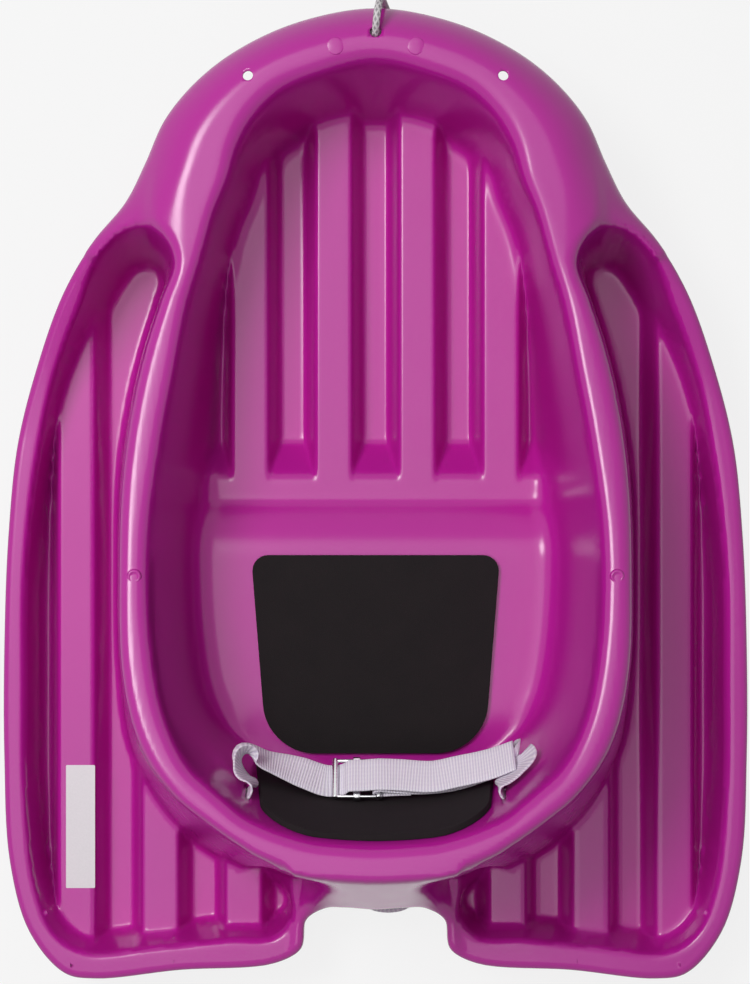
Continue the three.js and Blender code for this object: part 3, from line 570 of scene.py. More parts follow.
seat = {
    "rows": [(0.7, 3.0), (0.562, 3.0), (0.526, 28.0), (0.499, 28.0), (0.489, 34.0), (0.479, 38.2),
             (0.467, 42.0), (0.455, 44.6), (0.443, 45.8), (0.195, 40.0), (0.0, 36.0)],
    "reach": 420.0, "step": 0.5, "softness": 3.2, "window": 24, "lean": 0.4,
}


def bell(reach, step, softness):
    # shares of a soft average, which add up to one
    spread = np.exp(-0.5 * (np.arange(-reach, reach + 1) * step / softness) ** 2)
    return spread / spread.sum()


def seatTable():
    # side profile of the step and the seat, its corners rounded off
    places = np.arange(-seat["reach"], seat["reach"], seat["step"])
    order = sorted((alongAt(along), up) for along, up in seat["rows"])
    plain = np.interp(places, [place for place, up in order], [up for place, up in order])
    shares = bell(seat["window"], seat["step"], seat["softness"])
    return places, np.convolve(np.pad(plain, seat["window"], mode="edge"), shares, mode="valid")


seatPlaces, seatHeights = seatTable()


def ridgeHeight(across, centre, skin):
    past = np.abs(across - centre) - hull["ridgeHalf"]
    return wallProfile(past, hull["ridgeSlope"], hull["ridge"] - skin, hull["wall"] - skin,
                       *hull["ridgeRounds"], skin)


def deckHeight(across, y, inner, skin):
    # the deck from the lip up to the rim's crest
    lip = lipHeight(y)
    rim = rimHeight(y)
    edge, _ = onLoop(across, y, outlineLoop)
    outer, outerAt = onLoop(across, y, rimOuterLoop)
    sweep = rowValue(sweepTable, outerAt)
    band = outer - inner
    crest = hull["crest"] * band
    toCrest = np.maximum(crest - outer, 0)
    noseShare = np.clip(edge - 0.6 * skin, 0, None) / (np.clip(edge, 0, None) + toCrest + 1e-6)
    nose = mix(lip, rim, 1 - (1 - noseShare) ** 2)
    toRim = np.maximum(-outer, 0)
    crown = hull["crown"] * np.clip(toCrest / np.maximum(crest, 1), 0, 1) ** 2
    wing = mix(lip, rim - crown, ease(edge / (edge + toRim + 1e-6), 0.5, 1))
    rearSlope = (rim - hull["rearDrop"] - lip) / np.maximum(edge + toRim, hull["leastRun"])
    rear = wallProfile(-outer - hull["rearShift"], rearSlope, rim - skin, lip - hull["rearFoot"],
                       *hull["rearRounds"], skin)
    swept = np.where(y > 0, nose, rear)
    return mix(wing, swept, sweep) - np.where(y > 0, skin, skin * (1 - sweep))


mouthInner, _ = onLoop(mouthLoop[:, 0], mouthLoop[:, 1], rimInnerLoop)
mouthDeck = deckHeight(mouthLoop[:, 0], mouthLoop[:, 1], mouthInner, 0.0)
tubRidges = [0.5 * hull["ridgePitch"], 1.5 * hull["ridgePitch"]]


def hullHeight(x, y, skin=0.0):
    across = np.abs(x)
    rim = rimHeight(y)
    inner, _ = onLoop(across, y, rimInnerLoop)
    foot, _ = onLoop(across, y, tubFootLoop)
    mouth, mouthAt = onLoop(across, y, mouthLoop)
    pocketFoot, _ = onLoop(across, y, pocketFootLoop)
    deck = deckHeight(across, y, inner, skin)

    # the tub
    tubDrop = rim - hull["rimDrop"] - hull["wall"] - hull["tubFootRise"]
    tubSlope = tubDrop / np.maximum(inner - foot, hull["leastRun"])
    bench = np.interp(y + seat["lean"] * skin, seatPlaces, seatHeights) - skin
    ridges = np.maximum.reduce([ridgeHeight(across, centre, skin) for centre in tubRidges])
    tubFloor = np.maximum(np.where(y > hull["ridgeEnd"], ridges, 0), bench)
    softFoot = hull["tubFoot"] + eased(-y, *hull["seatFoot"]) - eased(-y, *hull["backFoot"])
    softTop = hull["tubTop"] + eased(y, *hull["noseTop"])
    above = np.where(inner > -hull["crestReach"], rim - skin, deck)
    tub = wallProfile(inner + hull["rimDrop"] / tubSlope, tubSlope, above, tubFloor, softTop, softFoot, skin)

    # a wing's pocket
    rise = rowValue(pocketRiseShares, mouthAt)
    corner = np.interp(mouthAt, np.arange(len(mouthDeck) + 1), np.append(mouthDeck, mouthDeck[0]))
    line = corner - rise * hull["rimDrop"]
    pocketDrop = line - hull["wall"] - hull["pocketFootRise"]
    pocketSlope = pocketDrop / np.maximum(mouth - pocketFoot, hull["leastPocketRun"])
    wingRidges = [ridgeHeight(across, hull["wingRidge"], skin)]
    for number, end in hull["shortRidges"]:
        row = ridgeHeight(across, hull["wingRidge"] - number * hull["ridgePitch"], skin)
        wingRidges.append(np.where(y < alongAt(end), row, 0))
    pocketFloor = np.maximum.reduce(wingRidges)
    past = mouth + (corner - line) / pocketSlope
    topRound = mix(*hull["pocketTops"], rise)
    reach = topReach(pocketSlope, topRound)
    above = mix(deck, corner - skin, np.clip((past + reach) / reach, 0, 1))
    pocket = wallProfile(past, pocketSlope, above, pocketFloor, topRound, hull["pocketFoot"], skin)
    return np.minimum(tub, pocket)


grid = {
    "across": 3.2, "along": 3.7, "ridgeSide": 16.5, "ridgeZone": 6.0, "ridgeStep": 1.75,
    "acrossZones": [(240, 265, 2.3)],
    "alongZones": [(-341, -290, 2.6), (-262, -195, 2.7), (-40, 60, 3.1), (262, 341, 2.5)],
    "pulls": [(mouthLoop, 0.7), (rimOuterLoop, -0.6), (pocketFootLoop, -0.8), (tubFootLoop, -2.0)],
    "pullShare": 0.51, "rimPull": (70, 0.3), "trim": 1.1, "evenRounds": 60,
}


def gridLines(start, end, coarse, zones):
    # places along one direction, closer together inside the zones given as (from, to, step)
    lines = [start]
    while lines[-1] < end:
        step = coarse
        for low, high, fine in zones:
            if low - coarse <= lines[-1] < high:
                step = min(step, fine)
        lines.append(lines[-1] + step)
    lines = np.array(lines)
    return start + (lines - start) * (end - start) / (lines[-1] - start)


def ringNormals(loop):
    # normals of the closed loop, pointing inwards
    run = unitRows(np.roll(loop, -1, axis=0) - np.roll(loop, 1, axis=0))
    area = np.sum(loop[:, 0] * np.roll(loop[:, 1], -1) - np.roll(loop[:, 0], -1) * loop[:, 1])
    return np.stack([-run[:, 1], run[:, 0]], axis=1) * np.sign(area)


def spacing(lines, forward):
    # the gap from each grid line to the next, or to the one before
    gaps = np.diff(lines)
    return np.append(gaps, gaps[-1]) if forward else np.insert(gaps, 0, gaps[0])


def pulled(flat, columns, rows):
    # Grid places drawn onto the lines where steep walls begin and end, so that their edges run clean:
    # wherever a grid edge crosses such a line, its nearer end moves onto the line.
    shape = flat.shape[:2]
    sign = np.where(flat[:, :, 0] < 0, -1, 1)
    start = np.stack([np.abs(flat[:, :, 0]).ravel(), flat[:, :, 1].ravel()], axis=1)
    ahead = np.stack([np.broadcast_to(spacing(columns, True)[None, :], shape).ravel(),
                      np.broadcast_to(spacing(rows, True)[:, None], shape).ravel()], axis=1)
    behind = np.stack([np.broadcast_to(spacing(columns, False)[None, :], shape).ravel(),
                       np.broadcast_to(spacing(rows, False)[:, None], shape).ravel()], axis=1)
    mirror = sign.ravel() < 0
    across = np.where(mirror, behind[:, 0], ahead[:, 0])
    back = np.where(mirror, ahead[:, 0], behind[:, 0])
    goal = start.copy()
    free = np.ones(len(start), bool)
    for loop, offset in grid["pulls"]:
        _, at = onLoop(start[:, 0], start[:, 1], loop)
        low = np.floor(at).astype(int) % len(loop)
        part = (at - np.floor(at))[:, None]
        normals = ringNormals(loop)
        near = mix(loop[low], loop[(low + 1) % len(loop)], part)
        facing = unitRows(mix(normals[low], normals[(low + 1) % len(loop)], part))
        target = near + facing * offset
        move = target - start
        room = np.stack([np.where(move[:, 0] > 0, across, back),
                         np.where(move[:, 1] > 0, ahead[:, 1], behind[:, 1])], axis=1)
        room = grid["pullShare"] * np.max(np.abs(facing) * room, axis=1)
        take = free & (np.linalg.norm(move, axis=1) < room)
        if loop is rimOuterLoop:
            reach, end = grid["rimPull"]
            take &= (start[:, 1] < alongAt(end)) & (start[:, 0] < reach)
        goal[take] = target[take]
        free &= ~take
    moved = flat.copy()
    moved[:, :, 0] = goal[:, 0].reshape(shape) * sign
    moved[:, :, 1] = goal[:, 1].reshape(shape)
    return moved


def boundaryWalk(bm):
    # the vertices of the one open edge, in order
    edges = {edge for edge in bm.edges if edge.is_boundary}
    first = next(iter(edges)).verts[0]
    order = [first]
    last = None
    while True:
        here = order[-1]
        step = next(edge for edge in here.link_edges if edge in edges and edge is not last)
        last = step
        following = step.other_vert(here)
        if following is first:
            return order
        order.append(following)


def edgeShares(places):
    # where on the outline each boundary vertex belongs, spread evenly
    count = len(outlineLoop)
    _, at = onLoop(places[:, 0], places[:, 1], outlineLoop)
    turns = np.unwrap(at * fullTurn / count)
    sign = -1 if turns[-1] < turns[0] else 1
    turns = sign * turns
    for _ in range(grid["evenRounds"]):
        before = np.roll(turns, 1)
        after = np.roll(turns, -1)
        before[0] -= fullTurn
        after[-1] += fullTurn
        turns = 0.5 * turns + 0.25 * (before + after)
    return sign * turns * count / fullTurn


def atShares(shares, inset):
    count = len(outlineLoop)
    normals = ringNormals(outlineLoop)
    low = np.floor(shares).astype(int)
    part = (shares - low)[:, None]
    place = mix(outlineLoop[low % count], outlineLoop[(low + 1) % count], part)
    normal = unitRows(mix(normals[low % count], normals[(low + 1) % count], part))
    return place + normal * inset


sheet = {"step": 1.0, "across": 274.0, "along": 346.0, "softness": 1.15, "reach": 4}


def softened(table, axis, mirrored):
    # every number becomes the mean of those near it; the middle of the hull mirrors across
    reach = sheet["reach"]
    spread = bell(reach, sheet["step"], sheet["softness"])
    table = np.moveaxis(table, axis, 0)
    before = table[reach:0:-1] if mirrored else np.repeat(table[:1], reach, axis=0)
    wide = np.concatenate([before, table, np.repeat(table[-1:], reach, axis=0)], axis=0)
    mean = sum(share * wide[number:number + len(table)] for number, share in enumerate(spread))
    return np.moveaxis(mean, 0, axis)


def skinSheet(skin):
    # one skin's heights on an even grid over the right half, and how they slope
    across = np.arange(0, sheet["across"], sheet["step"])
    along = np.arange(-sheet["along"], sheet["along"], sheet["step"])
    wide = np.broadcast_to(across[None, :], (len(along), len(across)))
    long = np.broadcast_to(along[:, None], (len(along), len(across)))
    heights = hullHeight(wide.ravel(), long.ravel(), skin).reshape(wide.shape)
    heights = softened(softened(heights, 1, True), 0, False)
    slopeY, slopeX = np.gradient(heights, sheet["step"])
    slopeX[:, 0] = 0
    return np.stack([heights, slopeX, slopeY], axis=2)


def sampled(table, x, y):
    # a sheet's height and slopes at any place, from the four grid places round it
    column = np.clip(np.abs(x) / sheet["step"], 0, table.shape[1] - 1.001)
    row = np.clip((y + sheet["along"]) / sheet["step"], 0, table.shape[0] - 1.001)
    left = column.astype(int)
    low = row.astype(int)
    over = (column - left)[:, None]
    up = (row - low)[:, None]
    found = mix(mix(table[low, left], table[low, left + 1], over),
                mix(table[low + 1, left], table[low + 1, left + 1], over), up)
    return found[:, 0], found[:, 1] * np.sign(x), found[:, 2]


def surfaceNormals(table, x, y, skin):
    here, slopeX, slopeY = sampled(table, x, y)
    normals = unitRows(np.stack([-slopeX, -slopeY, np.ones(len(x))], axis=1))
    return here, normals if skin == 0 else -normals


def hullLines():
    # the grid's columns and rows, closest together at the ridges' sides
    centres = [hull["wingRidge"] - number * hull["ridgePitch"] for number in range(3)] + tubRidges
    sides = [centre + side * grid["ridgeSide"] for centre in centres for side in (-1, 1)]
    zones = [(side - grid["ridgeZone"], side + grid["ridgeZone"], grid["ridgeStep"]) for side in sides]
    right = gridLines(0, hull["width"] / 2, grid["across"], zones + grid["acrossZones"])
    columns = np.concatenate([-right[:0:-1], right])
    rows = gridLines(-hull["length"] / 2, hull["length"] / 2, grid["along"], grid["alongZones"])
    print(f"hull grid {len(columns)} by {len(rows)}")
    return columns, rows


def hullSheet():
    # the flat sheet of faces that the hull is shaped from, cut to the outline
    columns, rows = hullLines()
    flat = np.zeros((len(rows), len(columns), 3))
    flat[:, :, 0] = columns[None, :]
    flat[:, :, 1] = rows[:, None]
    flat = pulled(flat, columns, rows)
    edge, _ = onLoop(np.abs(flat[:, :, 0]), flat[:, :, 1], outlineLoop)
    bm = mappedGrid(flat, ("clear",), edge[:, :, None])
    clear = bm.verts.layers.float["clear"]
    outside = [vert for vert in bm.verts if vert[clear] < hull["edgeInset"] + grid["trim"]]
    bmesh.ops.delete(bm, geom=outside, context="VERTS")
    loose = [vert for vert in bm.verts if len(vert.link_faces) == 0]
    bmesh.ops.delete(bm, geom=loose, context="VERTS")
    pinched = True
    while pinched:
        thin = [face for face in bm.faces if sum(edge.is_boundary for edge in face.edges) > 2]
        bmesh.ops.delete(bm, geom=thin, context="FACES")
        pinched = bool(thin)
    return bm


def hullMesh():
    # one row of faces out to the even edge, then the same sheet again for the inside skin
    bm = hullSheet()
    order = boundaryWalk(bm)
    shares = edgeShares(np.array([vert.co[:2] for vert in order]))
    ring = atShares(shares, hull["edgeInset"])
    edgeVerts = extrudeRing(bm, order)
    for vert, place in zip(edgeVerts, ring):
        vert.co = (place[0], place[1], 0)
    bm.verts.index_update()
    top = list(bm.verts)
    flatPlaces = np.array([vert.co[:2] for vert in top])
    copy = bmesh.ops.duplicate(bm, geom=list(bm.verts) + list(bm.edges) + list(bm.faces))
    twin = copy["vert_map"]
    under = [twin[vert] for vert in top]
    copied = [item for item in copy["geom"] if isinstance(item, bmesh.types.BMFace)]
    bmesh.ops.reverse_faces(bm, faces=copied)
    normals = {}
    topSheet = skinSheet(0.0)
    for verts, skin, table in ((top, 0.0, topSheet), (under, hull["wall"], skinSheet(hull["wall"]))):
        heights, facing = surfaceNormals(table, flatPlaces[:, 0], flatPlaces[:, 1], skin)
        for vert, (x, y), z, normal in zip(verts, flatPlaces, heights, facing):
            vert.co = (x, y, z)
            normals[tuple(round(number, 3) for number in vert.co)] = normal
    print("hull skins shaped")
    rollEdge(bm, edgeVerts, [twin[vert] for vert in edgeVerts], shares, topSheet)
    bmesh.ops.triangulate(bm, faces=bm.faces, quad_method="SHORT_EDGE")
    bmesh.ops.recalc_face_normals(bm, faces=bm.faces)
    return bm, normals


def extrudeRing(bm, order):
    # one more ring of faces outwards from an ordered ring of vertices; gives the new ring in order
    ringEdges = []
    for number, vert in enumerate(order):
        following = order[(number + 1) % len(order)]
        ringEdges.append(next(edge for edge in vert.link_edges if edge.other_vert(vert) is following))
    made = bmesh.ops.extrude_edge_only(bm, edges=ringEdges)
    fresh = {item for item in made["geom"] if isinstance(item, bmesh.types.BMVert)}
    ring = []
    for vert in order:
        others = [edge.other_vert(vert) for edge in vert.link_edges]
        ring.append(next(other for other in others if other in fresh))
    return ring


def bezier(start, handle, end, share):
    return start * (1 - share) ** 2 + handle * 2 * share * (1 - share) + end * share ** 2


roll = {
    "skirt": 16.0, "drop": 5.0, "probe": 0.5, "steepest": 3.2, "window": 9, "handle": 7.0, "least": 4.0,
    "steps": (0.2, 0.4, 0.6, 0.8, 1.0), "backSteps": (0.0, 0.35, 0.7),
    "hemRise": 1.2, "hemSide": (0.45, 0.3),
}


def rollEdge(bm, edgeVerts, underVerts, shares, table):
    # the lip rolls over, runs down as a short skirt, and comes up again on the inside
    inset = hull["edgeInset"]
    wall = hull["wall"]
    topZ = np.array([vert.co.z for vert in edgeVerts])
    underZ = np.array([vert.co.z for vert in underVerts])
    further = atShares(shares, inset + roll["probe"])
    climb = (sampled(table, further[:, 0], further[:, 1])[0] - topZ) / roll["probe"]
    slope = np.clip(climb, 0, roll["steepest"])
    half = roll["window"] // 2
    window = np.ones(roll["window"]) / roll["window"]
    slope = np.convolve(np.concatenate([slope[-half:], slope, slope[:half]]), window, mode="valid")
    low = lipHeight(atShares(shares, 0)[:, 1]) - roll["skirt"]
    handleZ = np.maximum(topZ - inset * slope, low + roll["handle"])
    rollZ = np.maximum(handleZ - roll["drop"], low + roll["least"])
    rings = []
    for share in roll["steps"]:
        rings.append((bezier(inset, 0, 0, share), bezier(topZ, handleZ, rollZ, share)))
    side, rise = roll["hemSide"]
    hem = [(0, roll["hemRise"]), (side, rise), (wall / 2, 0), (wall - side, rise), (wall, roll["hemRise"])]
    rings += [(away, low + up) for away, up in hem]
    innerZ = np.minimum(rollZ + 1, underZ - 1)
    for share in roll["backSteps"]:
        handle = np.maximum(underZ - (inset - wall) * slope, innerZ)
        rings.append((bezier(wall, wall, inset, share), bezier(innerZ, handle, underZ, share)))
    order = edgeVerts
    for away, height in rings:
        order = extrudeRing(bm, order)
        places = atShares(shares, away)
        for vert, place, z in zip(order, places, np.broadcast_to(height, len(order))):
            vert.co = (place[0], place[1], z)
    order = extrudeRing(bm, order)
    bmesh.ops.weld_verts(bm, targetmap=dict(zip(order, underVerts)))


holes = {"drills": [(0, 320.54, 8.0), (-87.19, 290.53, 7.0), (87.19, 290.53, 7.0)],
         "drillHeight": 130.0, "drillDepth": 50.0, "drillSegments": 40,
         "slotSize": (4.0, 29.0, 24.0), "slotRound": 0.48, "sharpAngle": 0.9,
         "slots": [((-0.089, -0.20169, 0.138), (0.531, 0.827, 0.184), (0, -0.218, 0.976)),
                   ((0.089, -0.20169, 0.138), (-0.531, 0.827, 0.184), (0, -0.218, 0.976))]}


def cutterMesh():
    # upright drills for the rope and deck holes, and the two belt slots with round ends
    bm = bmesh.new()
    for x, y, diameter in holes["drills"]:
        place = Matrix.Translation((x * mm, y * mm, holes["drillHeight"] * mm))
        bmesh.ops.create_cone(bm, cap_ends=True, segments=holes["drillSegments"], radius1=diameter / 2 * mm,
                              radius2=diameter / 2 * mm, depth=holes["drillDepth"] * mm, matrix=place)
    width, length, depth = [size * mm for size in holes["slotSize"]]
    for centre, normal, rise in holes["slots"]:
        facing = Vector(normal).normalized()
        up = Vector(rise).normalized()
        side = up.cross(facing).normalized()
        turn = Matrix((side, up, facing)).transposed().to_4x4()
        made = bmesh.ops.create_cube(bm, size=1.0)
        bmesh.ops.scale(bm, vec=(width, length, depth), verts=made["verts"])
        corners = [edge for edge in {edge for vert in made["verts"] for edge in vert.link_edges}
                   if abs((edge.verts[0].co - edge.verts[1].co).z) > depth / 2]
        bevelled = bmesh.ops.bevel(bm, geom=corners, offset=width * holes["slotRound"], offset_type="OFFSET",
                                   segments=6, profile=0.5, affect="EDGES", material=-1)
        moved = {vert for face in bevelled["faces"] for vert in face.verts}
        bmesh.ops.transform(bm, matrix=Matrix.Translation(centre) @ turn, verts=list(moved))
    return bm


def makeHull():
    bm, normals = hullMesh()
    bmesh.ops.scale(bm, vec=(mm, mm, mm), verts=bm.verts)
    piece = addPiece("sledHull", bm, plasticFinish(), stands=("hull_shell",))
    cutter = bpy.data.objects.new("holeCutter", bpy.data.meshes.new("holeCutter"))
    drills = cutterMesh()
    drills.to_mesh(cutter.data)
    drills.free()
    bpy.context.scene.collection.objects.link(cutter)
    cut = piece.modifiers.new("holes", "BOOLEAN")
    cut.operation = "DIFFERENCE"
    cut.solver = "MANIFOLD"
    cut.object = cutter
    bpy.context.view_layer.update()
    graph = bpy.context.evaluated_depsgraph_get()
    finished = bpy.data.meshes.new_from_object(piece.evaluated_get(graph))
    print(f"holes cut: {len(piece.data.vertices)} to {len(finished.vertices)} vertices")
    piece.modifiers.clear()
    old = piece.data
    piece.data = finished
    finished.name = "sledHull"
    bpy.data.meshes.remove(old)
    bpy.data.objects.remove(cutter)
    finished.shade_smooth()
    giveNormals(finished, normals)
    return piece


def giveNormals(mesh, normals):
    # the moulding's own normals on both skins; cut edges and the rolled lip keep Blender's
    facing = [normals.get(tuple(round(number / mm, 3) for number in vert.co)) for vert in mesh.vertices]
    fresh = {index for index, normal in enumerate(facing) if normal is None}
    bm = bmesh.new()
    bm.from_mesh(mesh)
    for edge in bm.edges:
        new = edge.verts[0].index in fresh and edge.verts[1].index in fresh
        if new and len(edge.link_faces) == 2 and edge.calc_face_angle() > holes["sharpAngle"]:
            edge.smooth = False
    bm.to_mesh(mesh)
    bm.free()
    blank = (0, 0, 0)
    mesh.normals_split_custom_set_from_vertices([blank if normal is None else tuple(normal)
                                                 for normal in facing])
    print(f"moulded normals: {len(facing) - len(fresh)}")


# Foam pads

pads = {"width": 178.0, "narrowing": 11.0, "frontCorner": 12.0, "backCorner": 34.0, "thickness": 4.0,
        "gap": 0.3, "length": 142.074, "setback": 6.2, "columns": 40, "rows": 34, "crowding": 1.25,
        "edge": 0.9, "edgeSegments": 3, "edgeAngle": 50, "fill": 0.9,
        "seatFront": (0.452, 46.0), "seatBack": (0.195, 40.0),
        "backFoot": 48.0, "backLean": 0.976, "wrap": 0.97, "probe": 4.0, "wallRows": 9}


def padHalf(along):
    # half the pad's width at a place along it, with its corners rounded
    half = pads["width"] / 2 - pads["narrowing"] * along / pads["length"]
    for radius, fromEnd in ((pads["frontCorner"], along), (pads["backCorner"], pads["length"] - along)):
        into = np.clip(1 - fromEnd / radius, 0, 1)
        half = half - radius * (1 - np.sqrt(1 - into ** 2))
    return half


def padPlan():
    shares = np.linspace(0, math.pi, pads["rows"])
    along = pads["length"] * (1 - np.cos(shares)) / 2
    across = np.linspace(-1, 1, pads["columns"])
    across = np.sign(across) * (1 - (1 - np.abs(across)) ** pads["crowding"])
    return across[None, :] * padHalf(along)[:, None], np.repeat(along[:, None], pads["columns"], axis=1)


def seatPlace(across, along):
    front = np.array((0, alongAt(pads["seatFront"][0]), pads["seatFront"][1]))
    back = np.array((0, alongAt(pads["seatBack"][0]), pads["seatBack"][1]))
    run = (back - front) / np.linalg.norm(back - front)
    normal = np.array((0, run[2], -run[1]))
    places = front + run * (pads["setback"] + along)[..., None] + normal * pads["gap"]
    places[..., 0] = across
    return places


def backrestPlace(across, up):
    # on the tub's rear wall: between its foot and the rim's inner edge, at a height
    count = len(rimInnerLoop)
    middle = count // 2
    rows = np.arange(middle, middle + pads["wallRows"] * hull["loopSteps"])
    inner = rimInnerLoop[rows % count]
    foot = tubFootLoop[rows % count]
    bottom = hull["wall"] + hull["tubFootRise"]
    flatAcross = across.ravel()
    flatUp = up.ravel()
    depth = []
    for x, z in zip(flatAcross, flatUp):
        rise = (z - bottom) / (rimHeight(inner[:, 1]) - hull["rimDrop"] - bottom)
        line = foot + (inner - foot) * rise[:, None]
        depth.append(np.interp(abs(x), np.abs(line[:, 0]), line[:, 1]))
    places = np.stack([flatAcross, np.array(depth), flatUp], axis=1)
    return places.reshape(*across.shape, 3)


def backrestPad(across, along):
    across = across * pads["wrap"]
    up = pads["backFoot"] + along * pads["backLean"]
    probe = pads["probe"]
    side = backrestPlace(across + probe, up) - backrestPlace(across - probe, up)
    rise = backrestPlace(across, up + probe) - backrestPlace(across, up - probe)
    return backrestPlace(across, up) + unitRows(np.cross(rise, side)) * pads["gap"]


def makePad(name, surface, node, material, facing):
    across, along = padPlan()
    bm = mappedGrid(surface(across, along) * mm)
    bmesh.ops.recalc_face_normals(bm, faces=bm.faces)
    middle = sum((face.normal for face in bm.faces), Vector())
    if middle.dot(Vector(facing)) < 0:
        bmesh.ops.reverse_faces(bm, faces=bm.faces)
    piece = addPiece(name, bm, material, stands=(node,))
    thick = piece.modifiers.new("thickness", "SOLIDIFY")
    thick.thickness = pads["thickness"] * mm
    thick.offset = 1
    thick.use_even_offset = True
    soft = piece.modifiers.new("softEdge", "BEVEL")
    soft.width = pads["edge"] * mm
    soft.segments = pads["edgeSegments"]
    soft.limit_method = "ANGLE"
    soft.angle_limit = math.radians(pads["edgeAngle"])


# Webbing belt

webbing = {
    "width": 25.0, "thickness": 1.6, "rib": 2.0, "cord": 3.1, "spanSteps": 8,
    "section": [(-1, 0), (-0.985, 0.7), (-0.94, 1), (-0.6, 1), (-0.2, 1), (0.2, 1), (0.6, 1), (0.94, 1),
                (0.985, 0.7), (1, 0)],  # one face of the webbing, in halves of its width and thickness
}
# places along the belt in metres, and the way that it faces across there
beltStations = [
    (0.02452, -0.19282, 0.1099, 0, 0.8, -0.6), (0.01664, -0.19302, 0.10964, 0, 0.8, -0.6),
    (0.00876, -0.19343, 0.1091, 0, 0.8, -0.6), (0.00201, -0.19393, 0.10843, 0, 0.8, -0.6),
    (-0.00035, -0.19334, 0.10921, 0, 0.8, -0.6), (-0.00134, -0.19192, 0.11111, 0, 0.8, -0.6),
    (-0.00035, -0.1905, 0.11301, 0, 0.8, -0.6), (0.00201, -0.18991, 0.11379, 0, 0.8, -0.6),
    (0.00876, -0.19061, 0.11285, 0, 0.8, -0.6), (0.01664, -0.19132, 0.11191, 0, 0.8, -0.6),
    (0.03313, -0.19199, 0.11009, 0, 0.8, -0.6), (0.053, -0.18995, 0.10865, 0, 0.8, -0.6),
    (0.07685, -0.1836, 0.10987, 0, 0.717, -0.697), (0.0912, -0.1798, 0.11398, -0.15, 0.45, -0.88),
    (0.0970, -0.1756, 0.12095, -0.402, 0.151, -0.903), (0.1002, -0.1780, 0.13079, -0.637, -0.189, -0.747),
    (0.0942, -0.1853, 0.13592, -0.301, 0, -0.954), (0.0841, -0.1940, 0.1397, 0, 0.218, -0.976),
    (0.0898, -0.20293, 0.13772, 0, 0.218, -0.976), (0.09537, -0.21161, 0.13579, 0, 0.218, -0.976),
    (0.0901, -0.2196, 0.12792, -0.201, 0.602, -0.773), (0.07791, -0.23324, 0.10496, -0.348, 0.795, -0.497),
    (0.05989, -0.24552, 0.07605, -0.301, 0.932, -0.201), (0.04187, -0.25916, 0.05207, -0.151, 0.983, -0.1),
    (0.02809, -0.27144, 0.03793, 0, 1, 0), (0.0159, -0.28405, 0.03095, 0, 1, 0),
    (0.00212, -0.28405, 0.03095, 0, 1, 0), (-0.01192, -0.27212, 0.0369, 0, 1, 0),
    (-0.02994, -0.26121, 0.05002, 0.151, 0.983, -0.1), (-0.05194, -0.24757, 0.07196, 0.301, 0.932, -0.201),
    (-0.07208, -0.23393, 0.10209, 0.348, 0.795, -0.497), (-0.08798, -0.2196, 0.12792, 0.201, 0.602, -0.773),
    (-0.09537, -0.21161, 0.13579, 0, 0.218, -0.976), (-0.0898, -0.20293, 0.13772, 0, 0.218, -0.976),
    (-0.0841, -0.1940, 0.1397, 0, 0.218, -0.976), (-0.0908, -0.1853, 0.13407, 0.151, 0.1, -0.983),
    (-0.0926, -0.1766, 0.1271, 0.1, 0.1, -0.99), (-0.0884, -0.1726, 0.11993, 0.151, 0.151, -0.977),
    (-0.07499, -0.17935, 0.11337, 0.22, 0.329, -0.918), (-0.06201, -0.18379, 0.11152, 0.1, 0.602, -0.792),
    (-0.05035, -0.18789, 0.1107, 0, 0.769, -0.639), (-0.03586, -0.19323, 0.10937, 0, 0.8, -0.6),
    (-0.02798, -0.19393, 0.10843, 0, 0.8, -0.6), (-0.02229, -0.19252, 0.11031, 0, 0.8, -0.6),
    (-0.01839, -0.1898, 0.11393, 0, 0.8, -0.6), (-0.01599, -0.18943, 0.11443, 0, 0.8, -0.6),
    (-0.00849, -0.18923, 0.1147, 0, 0.8, -0.6), (0.00201, -0.18841, 0.11579, 0, 0.8, -0.6),
    (0.01551, -0.18885, 0.1152, 0, 0.8, -0.6), (0.03895, -0.18994, 0.11623, 0, 0.8, -0.6),
    (0.05512, -0.18652, 0.11808, 0, 0.8, -0.6), (0.07791, -0.18074, 0.12341, 0, 0.783, -0.622),
    (0.09487, -0.1739, 0.12915, 0.05, 0.759, -0.649),
]


def makeBelt(material):
    stations = np.array(beltStations)
    route = smoothCurve(stations[:, :3], webbing["spanSteps"])
    facing = smoothCurve(stations[:, 3:], webbing["spanSteps"])
    runs = unitRows(np.gradient(route, axis=0))
    across = unitRows(facing - np.sum(facing * runs, axis=1, keepdims=True) * runs)
    lift = np.cross(runs, across)
    half = webbing["width"] / 2 * mm
    thick = webbing["thickness"] / 2 * mm
    section = webbing["section"]
    outline = np.array(section + [(side, -face) for side, face in section[-2:0:-1]])
    side = outline[:, 0]
    face = outline[:, 1]
    rings = (route[:, None, :] + across[:, None, :] * (side * half)[None, :, None]
             + lift[:, None, :] * (face * thick)[None, :, None])
    follow = np.zeros((len(route), len(outline), 2))
    follow[:, :, 0] = lengthsAlong(route)[:, None]
    follow[:, :, 1] = side[None, :] * half
    bm = closedTube(rings, ("along", "across"), follow)
    addPiece("beltWebbing", bm, material, stands=("belt_webbing",))
    print(f"belt length {lengthsAlong(route)[-1]:.3f} m")


# Slide buckle

buckle = {"centre": (-0.01299, -0.19192, 0.11111), "tilt": -math.atan(0.75), "barReach": 15.0,
          "barDiameter": 4.5, "barBevel": 0.5, "railReach": 14.2, "railDiameter": 2.4, "railBevel": 0.3,
          "eyeDiameter": 5.5, "eyeLength": 5.0, "eyeBore": 3.1, "eyeBevel": 0.3, "eyeOverlap": 1.0,
          "flatBevel": 0.4, "segments": 36, "sharpAngle": 50}


